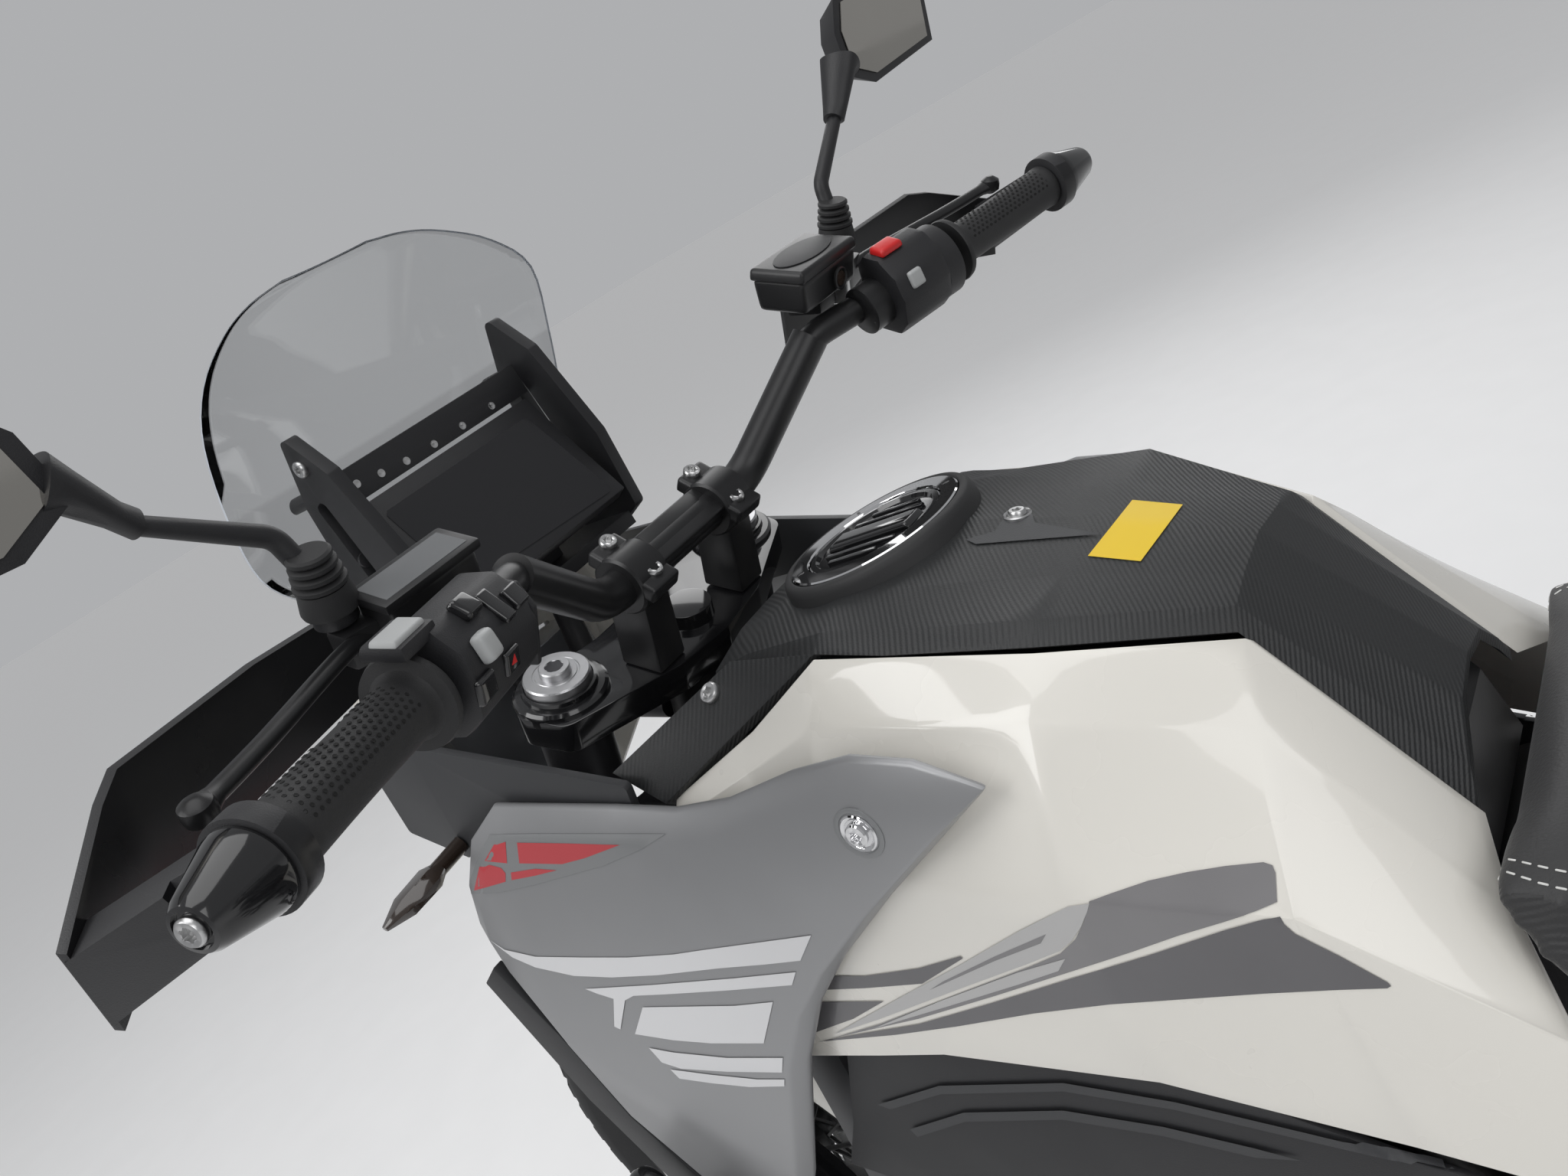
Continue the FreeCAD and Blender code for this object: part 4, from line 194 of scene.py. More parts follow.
TAG = surface("blank_tag", (0.13, 0.135, 0.14), 0.5, spread=0.08)
STRIPE_WHITE = surface("stripe_white", (0.72, 0.72, 0.73), 0.38, spread=0.01, coat=0.2)
STRIPE_LIGHT = surface("stripe_light", (0.48, 0.475, 0.47), 0.32, spread=0.02, coat=0.5)
STRIPE_GREY = surface("stripe_grey", (0.2, 0.195, 0.2), 0.32, spread=0.1, coat=0.5)
STRIPE_DARK = surface("stripe_dark", (0.115, 0.112, 0.118), 0.32, spread=0.1, coat=0.5)
STRIPE_RED = surface("stripe_red", (0.5, 0.045, 0.055), 0.4, spread=0.03)
INSET = surface("inset_grey", (0.27, 0.275, 0.28), 0.45, metal=0.4, spread=0.02)
THREAD = surface("white_thread", (0.7, 0.7, 0.68), 0.7, grain=(0.3, 3000))
# Opaque pale blue for the windscreen's rim: a painted highlight of its bright edges
SCREEN_RIM_HIGHLIGHT = surface("screen_rim_painted_highlight", (0.62, 0.66, 0.72), 0.15, spread=0.03, coat=0.5)
# Near-black for the grip's dimples: painted shade in their hollows
DIMPLE_SHADE = surface("painted_dimple_shade", (0.004, 0.004, 0.004), 0.8, spread=0.2)


# Places
RAKE = math.radians(25.35)
STEERING_HEAD = Vector((1137.7, 0.0, 1020.8))
AHEAD = Vector((math.cos(RAKE), 0.0, math.sin(RAKE)))
ACROSS = Vector((0.0, 1.0, 0.0))
UPWARD = Vector((-math.sin(RAKE), 0.0, math.cos(RAKE)))


def place(x, y, z):
    """A point of the part's own drawing, in mm, in the shared frame."""
    return Vector((x / 1000 + SHIFT, y / 1000, z / 1000))


def steer(ahead, side, up):
    """A point of the steering head's frame, in mm."""
    return place(*(STEERING_HEAD + AHEAD * ahead + ACROSS * side + UPWARD * up))


def steer_way(ahead, side, up):
    return (AHEAD * ahead + ACROSS * side + UPWARD * up).normalized()


def flip(point):
    return Vector((point.x, -point.y, point.z))


def sight(u, v):
    """The direction from the camera through a point of the photograph's frame."""
    return (LOOK * FOCAL + RIGHT * (u - FRAME_WIDTH / 2) + DOWN * (v - FRAME_HEIGHT / 2)).normalized()


# Meshes
LOBE = 0.13


def tube_faces(rows, count):
    """Faces that join rows of points, each to the next, and the two that close the ends."""
    faces = []
    for low in range(0, (rows - 1) * count, count):
        for i in range(count):
            j = (i + 1) % count
            faces.append((low + i, low + j, low + count + j, low + count + i))
    last = (rows - 1) * count
    return faces + [tuple(range(count))[::-1], tuple(range(last, last + count))]


def lathe(profile, at, axis, count, star=()):
    """A profile of radius and height in mm turned about an axis; rows in star are six-lobed."""
    axis = axis.normalized()
    across = axis.orthogonal().normalized()
    up = axis.cross(across)
    verts = []
    for row, (radius, height) in enumerate(profile):
        for i in range(count):
            angle = 2 * math.pi * i / count
            reach = radius * (1 + LOBE * math.cos(6 * angle)) if row in star else radius
            out = across * math.cos(angle) + up * math.sin(angle)
            verts.append(at + axis * (height / 1000) + out * (reach / 1000))
    return verts, tube_faces(len(profile), count)


def curve_points(points, steps):
    """A smooth line through points."""
    ends = [points[0] * 2 - points[1]] + list(points) + [points[-1] * 2 - points[-2]]
    line = []
    for a, b, c, d in zip(ends, ends[1:], ends[2:], ends[3:]):
        for i in range(steps):
            t = i / steps
            line.append(0.5 * (2 * b + (c - a) * t + (2 * a - 5 * b + 4 * c - d) * t ** 2
                               + (3 * b - a - 3 * c + d) * t ** 3))
    return line + [points[-1]]


def tube(path, radii, count, flat):
    """A flattened tube along a path in metres, with a radius in mm at each point."""
    verts = []
    side = None
    for i, here in enumerate(path):
        before, after = path[max(i - 1, 0)], path[min(i + 1, len(path) - 1)]
        along = (after - before).normalized()
        side = along.orthogonal() if side is None else side - along * side.dot(along)
        side.normalize()
        other = along.cross(side)
        for k in range(count):
            angle = 2 * math.pi * k / count
            out = side * math.cos(angle) + other * math.sin(angle) * flat
            verts.append(here + out * (radii[i] / 1000))
    return verts, tube_faces(len(path), count)


def stood(bm, at, out, along, soft, segments):
    """The points and faces of a mesh in mm that stands on a place, its edges broken."""
    out = out.normalized()
    along = (along - out * along.dot(out)).normalized()
    across = out.cross(along)
    bmesh.ops.bevel(bm, geom=bm.edges[:], offset=soft, segments=segments, profile=0.6,
                    affect="EDGES", clamp_overlap=True)
    bmesh.ops.triangulate(bm, faces=[f for f in bm.faces if len(f.verts) > 4])
    verts = [at + (along * v.co.x + across * v.co.y + out * v.co.z) / 1000 for v in bm.verts]
    faces = [tuple(v.index for v in f.verts) for f in bm.faces]
    bm.free()
    return verts, faces


def block(at, out, along, size, soft, taper=1.0, segments=2):
    """A soft-edged box that stands on a place: size along, across and out, in mm."""
    bm = bmesh.new()
    bmesh.ops.create_cube(bm, size=1.0)
    for vert in bm.verts:
        shrink = taper if vert.co.z > 0 else 1.0
        vert.co = Vector((vert.co.x * size[0] * shrink, vert.co.y * size[1] * shrink,
                          (vert.co.z + 0.5) * size[2]))
    return stood(bm, at, out, along, soft, segments)


def prism(outline, at, out, along, depth, soft):
    """An outline in mm, drawn along and across a place, raised out of it with broken edges."""
    bm = bmesh.new()
    base = bm.faces.new([bm.verts.new((x, y, 0.0)) for x, y in outline])
    bm.normal_update()
    if base.normal.z > 0:
        bmesh.ops.reverse_faces(bm, faces=[base])
    grown = bmesh.ops.extrude_face_region(bm, geom=[base])
    for item in grown["geom"]:
        if isinstance(item, bmesh.types.BMVert):
            item.co.z += depth
    bmesh.ops.recalc_face_normals(bm, faces=bm.faces[:])
    return stood(bm, at, out, along, soft, 2)


def flipped(part):
    verts, faces = part
    return [flip(v) for v in verts], [face[::-1] for face in faces]


def both_sides(parts):
    """Parts of the left side, and the same on the right."""
    return parts + [flipped(part) for part in parts]


def sharpen(bm, degrees):
    """Smooth faces, with edges sharp where the surface turns by more than so many degrees."""
    limit = math.radians(degrees)
    for face in bm.faces:
        face.smooth = True
    for edge in bm.edges:
        if len(edge.link_faces) == 2:
            edge.smooth = edge.calc_face_angle(0.0) < limit


def shown(name, mesh, mat, node, instead):
    """A mesh as a piece with its finish, on a node's body or instead of that node."""
    obj = linked(name, mesh)
    mesh.materials.clear()
    mesh.materials.append(mat)
    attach(obj, BODY_OF[node])
    if instead:
        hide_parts(node)
    return obj


def add(name, parts, mat, node, instead=False, sharp=38, outward=False):
    """One piece from several meshes, whose faces may need turning to the outside."""
    verts, faces = [], []
    for part_verts, part_faces in parts:
        start = len(verts)
        verts += [tuple(v) for v in part_verts]
        faces += [tuple(start + i for i in face) for face in part_faces]
    mesh = bpy.data.meshes.new(name)
    mesh.from_pydata(verts, [], faces)
    bm = bmesh.new()
    bm.from_mesh(mesh)
    sharpen(bm, sharp)
    if outward:
        bmesh.ops.recalc_face_normals(bm, faces=bm.faces[:])
    bm.to_mesh(mesh)
    bm.free()
    return shown(name, mesh, mat, node, instead)


WELD = 2e-6
# Edges that turn by less than the first are dissolved, by more than the second broken, in degrees
FLAT_ANGLE, BREAK_ANGLE, SHARP_ANGLE = 0.4, 32, 40


def dress(node, mat, bevel):
    """A CAD node's own shape with its edges broken by so many mm, in its real finish."""
    mesh = NODES[node].data.copy()
    bm = bmesh.new()
    bm.from_mesh(mesh)
    bmesh.ops.remove_doubles(bm, verts=bm.verts, dist=WELD)
    bmesh.ops.dissolve_limit(bm, angle_limit=math.radians(FLAT_ANGLE), verts=bm.verts, edges=bm.edges)
    if bevel:
        limit = math.radians(BREAK_ANGLE)
        edges = [e for e in bm.edges if len(e.link_faces) == 2 and e.calc_face_angle(0.0) > limit]
        bmesh.ops.bevel(bm, geom=edges, offset=bevel / 1000, offset_type="OFFSET", segments=2,
                        profile=0.6, affect="EDGES", clamp_overlap=True)
    bmesh.ops.triangulate(bm, faces=[f for f in bm.faces if len(f.verts) > 4])
    sharpen(bm, SHARP_ANGLE)
    bm.to_mesh(mesh)
    bm.free()
    return shown(node + "_piece", mesh, mat, node, True)


DRESSED = (
    # node, material, bevel in mm
    ("tank_cover", COVER, 1.2), ("tank_sides", PEARL, 1.5), ("shrouds", SATIN, 2.6),
    ("side_covers", PLASTIC, 1.5), ("shroud_trim", PLASTIC, 1.5), ("cockpit_panels", PANEL, 1.5),
    ("tail_covers", PLASTIC, 1.2), ("nose_fairing", PEARL, 1.5), ("front_fender", PEARL, 1.0),
    ("rear_fender", PLASTIC, 1.5), ("skid_plate", ALLOY, 1.0), ("handguards", GUARD, 1.2),
    ("mirrors", PLASTIC, 1.2), ("handlebar", SATIN_BLACK, 0.0), ("triple_clamps", GLOSS, 2.0),
    ("fork_legs", DARK_ALLOY, 1.0), ("front_calipers", GLOSS, 1.5), ("rear_caliper", GLOSS, 1.5),
    ("screen_brackets", PLASTIC, 1.0), ("display", PLASTIC, 2.5), ("crash_bars", GLOSS, 0.0),
    ("frame", FRAME, 1.0), ("swingarm", DARK_ALLOY, 1.5), ("rear_shock", SPRING, 0.0),
    ("engine", CAST, 1.5), ("radiator", DARK_ALLOY, 1.5), ("exhaust", PIPE, 1.0),
    ("foot_pegs", FRAME, 1.5), ("centre_stand", FRAME, 0.8), ("side_stand", FRAME, 0.8),
    ("luggage_rack", SATIN_BLACK, 1.0),
    ("front_wheel", SATIN_BLACK, 0.6), ("rear_wheel", SATIN_BLACK, 0.6),
    ("front_discs", STEEL, 0.3), ("rear_disc", STEEL, 0.3), ("rear_sprocket", STEEL, 0.3),
    ("chain", STEEL, 0.0), ("headlamp", LAMP_FACE, 1.0), ("tail_lamp", RED_LENS, 2.0),
    ("indicators", AMBER, 0.6), ("fuel_tank", FRAME, 1.0),
)
PIECES = {name: dress(name, mat, bevel) for name, mat, bevel in DRESSED}


def paint(piece, mat, test):
    """A second finish on the faces whose normal passes a test."""
    piece.data.materials.append(mat)
    for polygon in piece.data.polygons:
        if test(polygon.normal):
            polygon.material_index = 1


# Faces of the handguards that look back get the darker plastic: painted shade on their inside
paint(PIECES["handguards"], GUARD_SHADED_INSIDE, lambda normal: normal.dot(AHEAD) < -0.55)


def tree_of(piece):
    """A search tree of the faces of a piece, which sits at the origin as all do."""
    return BVHTree.FromPolygons([v.co.copy() for v in piece.data.vertices],
                                [tuple(p.vertices) for p in piece.data.polygons])


def seen(tree, u, v):
    """Where the sight line of a point of the photograph meets a piece, and the face's normal."""
    way = sight(u, v)
    at, normal = tree.ray_cast(CAMERA_AT, way)[:2]
    if at is None:
        return None, None
    return at, -normal if normal.dot(way) > 0 else normal


# Skins on panels: finish, height in mm and outline in the photograph's pixels
TANK_STRIPES = (
    ("tank_wing_high", STRIPE_GREY, 0.25, (
        (1423, 1177), (1450, 1167), (1500, 1150), (1550, 1139), (1600, 1131), (1650, 1126), (1662, 1130),
        (1666, 1140), (1668, 1178), (1640, 1190), (1600, 1203), (1540, 1221), (1480, 1242), (1400, 1268),
        (1300, 1300), (1200, 1330), (1085, 1356), (1150, 1337), (1250, 1298), (1345, 1262), (1385, 1245),
        (1405, 1226), (1415, 1205))),
    ("tank_wing_low", STRIPE_DARK, 0.25, (
        (1672, 1197), (1678, 1207), (1692, 1219), (1750, 1248), (1812, 1282), (1817, 1287), (1812, 1290),
        (1750, 1292), (1650, 1297), (1550, 1304), (1450, 1311), (1350, 1323), (1250, 1340), (1170, 1351),
        (1069, 1360), (1110, 1352), (1200, 1337), (1300, 1308), (1400, 1277), (1500, 1247), (1600, 1214),
        (1650, 1200))),
    ("tank_fan", STRIPE_LIGHT, 0.35, (
        (1423, 1179), (1420, 1190), (1412, 1210), (1400, 1228), (1385, 1241), (1340, 1259), (1250, 1292),
        (1150, 1330), (1090, 1350), (1180, 1300), (1250, 1262), (1330, 1216), (1395, 1183))),
    ("tank_fan_grey", STRIPE_GREY, 0.45, (
        (1367, 1219), (1360, 1231), (1300, 1254), (1215, 1292), (1232, 1281), (1300, 1248))),
    ("tank_fan_light", STRIPE_LIGHT, 0.45, (
        (1392, 1251), (1383, 1267), (1330, 1285), (1240, 1313), (1140, 1343), (1230, 1306), (1330, 1269))),
    ("tank_root_high", STRIPE_DARK, 0.30, (
        (1085, 1274), (1130, 1274), (1200, 1264), (1255, 1248), (1258, 1251), (1205, 1284), (1130, 1290),
        (1077, 1292))),
    ("tank_root_low", STRIPE_DARK, 0.30, ((1070, 1308), (1155, 1307), (1115, 1330), (1065, 1348))),
)
SHROUD_STRIPES = (
    ("shroud_inset", INSET, 0.20, (
        (640, 1090), (700, 1089), (870, 1089), (840, 1108), (790, 1130), (700, 1155), (650, 1166),
        (616, 1167), (614, 1150), (625, 1120))),
    ("shroud_red_1", STRIPE_RED, 0.35, ((646, 1103), (661, 1099), (663, 1127), (634, 1124))),
    ("shroud_red_2", STRIPE_RED, 0.35, (
        (676, 1100), (740, 1101), (810, 1103), (765, 1120), (735, 1128), (679, 1127))),
    ("shroud_red_3", STRIPE_RED, 0.35, (
        (627, 1132), (640, 1129), (655, 1133), (661, 1140), (661, 1151), (620, 1163))),
    ("shroud_red_4", STRIPE_RED, 0.35, ((668, 1139), (700, 1134), (728, 1136), (700, 1143), (669, 1149))),
    ("shroud_stripe_1", STRIPE_WHITE, 0.30, (
        (640, 1227), (660, 1240), (700, 1249), (760, 1250), (820, 1250), (880, 1246), (920, 1240),
        (1060, 1221), (1046, 1254), (1000, 1259), (940, 1264), (860, 1273), (800, 1276), (750, 1274),
        (700, 1263), (670, 1250))),
    ("shroud_stripe_2", STRIPE_WHITE, 0.30, (
        (765, 1291), (850, 1286), (960, 1277), (1040, 1269), (1035, 1286), (950, 1293), (870, 1298),
        (828, 1300), (817, 1306), (811, 1344), (803, 1340), (802, 1304), (780, 1297))),
    ("shroud_stripe_3", STRIPE_WHITE, 0.30, (
        (840, 1315), (960, 1313), (1010, 1308), (998, 1362), (930, 1362), (880, 1358), (830, 1350))),
    ("shroud_stripe_4", STRIPE_WHITE, 0.30, (
        (848, 1368), (880, 1374), (950, 1381), (1023, 1381), (1022, 1400), (950, 1399), (890, 1395),
        (865, 1387))),
    ("shroud_stripe_5", STRIPE_WHITE, 0.30, (
        (876, 1396), (930, 1403), (990, 1409), (1025, 1409), (1025, 1418), (980, 1419), (930, 1414),
        (888, 1408))),
)
# A lighter grey sheet, raised on the cover round its screw, paints the light of the recess there; it is a
# sheet, not a hollow
COVER_RECESS_LIGHT = ("cover_recess", PANEL, 0.6, (
    (1262, 706), (1300, 695), (1318, 668), (1345, 662), (1352, 684), (1440, 699), (1350, 706), (1275, 712)))
# Raised mouldings along the side covers' steps; their grey, lighter than the black covers, is a painted
# highlight of the steps
SIDE_STEP_HIGHLIGHTS = (
    ("side_step_high", PANEL, 1.6, (
        (1148, 1440), (1228, 1415), (1390, 1411), (1537, 1436), (1699, 1474), (1900, 1522), (1900, 1530),
        (1699, 1484), (1537, 1446), (1390, 1422), (1230, 1426), (1165, 1446))),
    ("side_step_low", PANEL, 1.6, (
        (1190, 1472), (1260, 1450), (1390, 1447), (1520, 1468), (1640, 1496), (1700, 1512), (1640, 1508),
        (1520, 1480), (1390, 1459), (1262, 1462), (1200, 1482))),
)
COVER_LABEL = ("cover_label", LABEL, 0.30, ((1479, 654), (1545, 660), (1490, 734), (1421, 727)))
SCREEN_FACE = ("display_face", DISPLAY, 0.40, (
    (505, 668), (682, 548), (690, 548), (796, 636), (796, 643), (616, 764), (608, 764), (505, 674)))
DECALS = (
    # node, its skins, whether the right side has them too
    ("tank_sides", TANK_STRIPES, True), ("shrouds", SHROUD_STRIPES, True),
    ("side_covers", SIDE_STEP_HIGHLIGHTS, True), ("tank_cover", (COVER_LABEL, COVER_RECESS_LIGHT), False),
    ("display", (SCREEN_FACE,), False),
)
# Pixels between a skin's points, and mm that lift it over the panel's creases
DECAL_GRID, DECAL_LIFT = 8.0, 0.25


def grid_lines(values):
    """Values a grid's step apart, between the lowest and the highest of some others."""
    low, high = min(values), max(values)
    return [low + (k + 0.5) * DECAL_GRID for k in range(math.ceil((high - low) / DECAL_GRID - 0.5))]


def decal(name, mat, rise, outline, node, both):
    """A thin skin laid on a piece, inside an outline in the photograph's pixels."""
    points = [Vector((float(u), float(v))) for u, v in outline]
    edge = []
    for here, after in zip(points, points[1:] + points[:1]):
        steps = max(1, int((after - here).length / DECAL_GRID))
        edge += [here.lerp(after, k / steps) for k in range(steps)]
    columns = grid_lines([p.x for p in edge])
    inner = [Vector((u, v)) for v in grid_lines([p.y for p in edge]) for u in columns]
    flat, _, triangles, _, _, _ = delaunay_2d_cdt(edge + inner, [], [list(range(len(edge)))], 1, 0.01)
    places = []
    for point in flat:
        at, normal = seen(TREES[node], point.x, point.y)
        places.append(None if at is None else at + normal * ((rise + DECAL_LIFT) / 1000))
    faces = [f for f in triangles if all(places[i] is not None for i in f)]
    used = sorted({i for f in faces for i in f})
    index = {old: new for new, old in enumerate(used)}
    skin = ([places[i] for i in used], [tuple(index[i] for i in f) for f in faces])
    add(name, both_sides([skin]) if both else [skin], mat, node, sharp=80)


TREES = {row[0]: tree_of(PIECES[row[0]]) for row in DECALS}
for node_name, skins, on_both in DECALS:
    for skin_row in skins:
        decal(*skin_row, node_name, on_both)


# Bolts
def bolt(at, axis, radius, raised=0.0):
    """A socket-head screw with a six-lobed recess."""
    r = radius
    profile = ((r * 0.96, -0.6), (r, 0.0), (r, 0.42 * r), (0.86 * r, 0.60 * r), (0.54 * r, 0.60 * r),
               (0.50 * r, 0.56 * r), (0.47 * r, 0.14 * r), (0.02, 0.14 * r))
    return lathe(profile, at + axis * (raised / 1000), axis, 30, star=(5, 6))


def washer_bolt(at, axis, radius):
    """A broad chrome screw in a dished washer."""
    r = radius
    profile = ((r, -0.5), (r, 0.9), (0.92 * r, 1.6), (0.80 * r, 1.2), (0.74 * r, 0.5), (0.62 * r, 0.5),
               (0.60 * r, 3.0), (0.52 * r, 3.8), (0.33 * r, 3.8), (0.31 * r, 3.4), (0.29 * r, 1.2),
               (0.02, 1.2))
    return lathe(profile, at, axis, 36, star=(9, 10))


# Screws and eyes, in the photograph's pixels
SHROUD_SCREW_AT, LUG_SCREW_AT, COVER_SCREW_AT = (1122, 1088), (930, 906), (1329, 673)
CROSS_BAR_EYES_AT = ((466, 632), (498, 618), (531, 602), (567, 580), (604, 556), (642, 530))
# Screws in a screen bracket's flank, in mm
BRACKET_SCREWS_AT = ((1287, 112.4, 1248), (1262, 112.4, 1104))


def make_bolts():
    at, normal = seen(TREES["shrouds"], *SHROUD_SCREW_AT)
    add("shroud_screws", both_sides([washer_bolt(at, normal, 11.5)]), CHROME, "shrouds")
    ring = lathe(((15.5, -0.4), (15.5, 0.5), (14.6, 0.9), (12.6, 0.6), (12.2, 0.1), (11.6, -0.4)),
                 at, normal, 36)
    add("shroud_screw_wells", both_sides([ring]), INSET, "shrouds")
    lug = bolt(*seen(TREES["tank_cover"], *LUG_SCREW_AT), 7.0)
    add("cover_lug_screws", both_sides([lug]), STEEL, "tank_cover")
    at, normal = seen(TREES["tank_cover"], *COVER_SCREW_AT)
    add("cover_screw", [washer_bolt(at, normal, 8.5)], STEEL, "tank_cover")
    brackets = []
    for point in BRACKET_SCREWS_AT:
        brackets += both_sides([bolt(place(*point), ACROSS, 6.5)])
    add("bracket_screws", brackets, STEEL, "screen_brackets")
    tree = tree_of(PIECES["screen_brackets"])
    eyes = []
    for point in CROSS_BAR_EYES_AT:
        at, normal = seen(tree, *point)
        if at is not None:
            eye = ((3.2, -0.2), (3.2, 0.4), (2.2, 0.4), (1.6, 0.1), (0.02, 0.1))
            eyes.append(lathe(eye, at, normal, 18))
    add("cross_bar_eyes", eyes, STEEL, "screen_brackets")


make_bolts()


# Windscreen
SCREEN_COLUMNS, SCREEN_THICK = 28, 3.0
COCKPIT_X, COCKPIT_Z = 1140, 1000
SCREEN_ROWS = (
    # height, middle ahead, edge ahead and half width, from the cockpit's base
    (150.3, 256, 198, 128), (166, 252, 197, 150), (195, 244, 194, 167), (240, 226, 171, 171),
    (292, 200, 141, 166), (326, 181, 139, 142), (350, 166, 143, 106), (362, 158, 145, 74),
    (367.5, 153, 147, 40),
)


def make_windscreen():
    """A sheet whose edges curve back from its middle, with its rim painted pale blue as a highlight."""
    rows = curve_points([Vector(row) for row in SCREEN_ROWS], 4)
    wide, tall = SCREEN_COLUMNS + 1, len(rows)
    verts, faces = [], []
    for thick in (0.0, SCREEN_THICK):
        for z, middle, edge, half in rows:
            for k in range(wide):
                share = 1 - 2 * k / SCREEN_COLUMNS
                ahead = middle + (edge - middle) * share ** 2 - thick
                verts.append(place(COCKPIT_X + ahead, share * half, COCKPIT_Z + z))
    back = wide * tall
    for i in range(tall - 1):
        for k in range(SCREEN_COLUMNS):
            a, b = i * wide + k, (i + 1) * wide + k
            faces += [(a, a + 1, b + 1, b), (back + b, back + b + 1, back + a + 1, back + a)]
    loop = list(range(wide)) + [i * wide + SCREEN_COLUMNS for i in range(1, tall)]
    loop += [(tall - 1) * wide + k for k in range(SCREEN_COLUMNS - 1, -1, -1)]
    loop += [i * wide for i in range(tall - 2, 0, -1)]
    rim = [(b, a, back + a, back + b) for a, b in zip(loop, loop[1:] + loop[:1])]
    piece = add("screen", [(verts, faces + rim)], SCREEN_GLASS, "windscreen", True, 60, outward=True)
    # The rim's faces take the pale blue: a painted highlight
    piece.data.materials.append(SCREEN_RIM_HIGHLIGHT)
    for polygon in piece.data.polygons[len(faces):]:
        polygon.material_index = 1


make_windscreen()


# Filler
CAP_TILT = math.radians(3.1)
CAP_AXIS = Vector((math.sin(CAP_TILT), 0.0, math.cos(CAP_TILT)))
CAP_FORWARD = Vector((math.cos(CAP_TILT), 0.0, -math.sin(CAP_TILT)))
CAP_AT = place(938, 0, 1034.8)
SLOT_RADIUS, SLOT_HEIGHT, LID_HEIGHT = 0.0535, 0.0083, 0.0048


def open_lathe(profile):
    """A profile turned about the filler's axis, without the two faces that would close it."""
    verts, faces = lathe(profile, CAP_AT, CAP_AXIS, 96)
    return verts, faces[:-2]


def make_filler():
    """A flat chrome ring in a rubber collar, and the black lid sunk inside it."""
    ring = open_lathe(((47.6, 0.2), (47.6, 7.6), (48.2, 8.6), (59.0, 8.6), (60.0, 7.8), (60.0, 0.2)))
    slots = []
    for i in range(4):
        turn = math.radians(90 * i + 45)
        out = CAP_FORWARD * math.cos(turn) + ACROSS * math.sin(turn)
        slots.append(block(CAP_AT + CAP_AXIS * SLOT_HEIGHT + out * SLOT_RADIUS, CAP_AXIS, out,
                           (5, 2.2, 0.6), soft=0.3, segments=1))
    add("filler_chrome", [ring], CHROME, "filler_ring", True)
    add("filler_slots", slots, GLOSS, "filler_ring")
    collar = open_lathe(((60.4, 0.2), (60.6, 7.2), (61.6, 8.0), (64.8, 7.6), (66.8, 5.6), (67.8, 2.0),
                         (69, -14)))
    add("filler_collar", [collar], RUBBER, "filler_ring")
    lid = lathe(((44.0, 0.6), (47.0, 1.0), (47.0, 6.6), (46.2, 7.4), (42.5, 7.4), (41.0, 5.2), (30.0, 5.0),
                 (0.02, 5.6)), CAP_AT, CAP_AXIS, 96)
    here = CAP_AT + CAP_AXIS * LID_HEIGHT
    flap = block(here, CAP_AXIS, CAP_FORWARD, (70, 20, 4.2), soft=1.6, taper=0.92, segments=3)
    ribs = [block(here + ACROSS * (side / 1000), CAP_AXIS, CAP_FORWARD, (length, 4, 2.6), soft=1.0)
            for side, length in ((-19, 58), (19, 58), (-29, 40), (29, 40))]
    add("cap_lid", [lid, flap] + ribs, GLOSS, "fuel_cap", True)


make_filler()


# Handlebar fittings: start and run of the bar's left end in the steering head's frame, in mm
BAR_BACK = (-88.0, 286.0, 170.0)
BAR_LEAN = (-55.2, 145.0, 28.3)
BAR_WAY = steer_way(*BAR_LEAN)
GRIP_FROM, GRIP_LENGTH, GRIP_RADIUS, COLLAR = 5.0, 112.0, 17.0, 12.0
# Rows of dimples and degrees between them, dimples in a row and mm between them, bare patch
DIMPLE_ROWS, DIMPLE_TURN, DIMPLES, DIMPLE_PITCH = 11, 12.5, 19, 4.6
BARE_FROM, BARE_TO, BARE_ROWS = 44, 66, 5


def bar_place(along):
    """A point of the left handlebar's axis, mm outward of where its grip end begins."""
    return steer(*BAR_BACK) + BAR_WAY * (along / 1000)


BAR_UP = (UPWARD - BAR_WAY * UPWARD.dot(BAR_WAY)).normalized()
BAR_REAR = BAR_UP.cross(BAR_WAY).normalized()


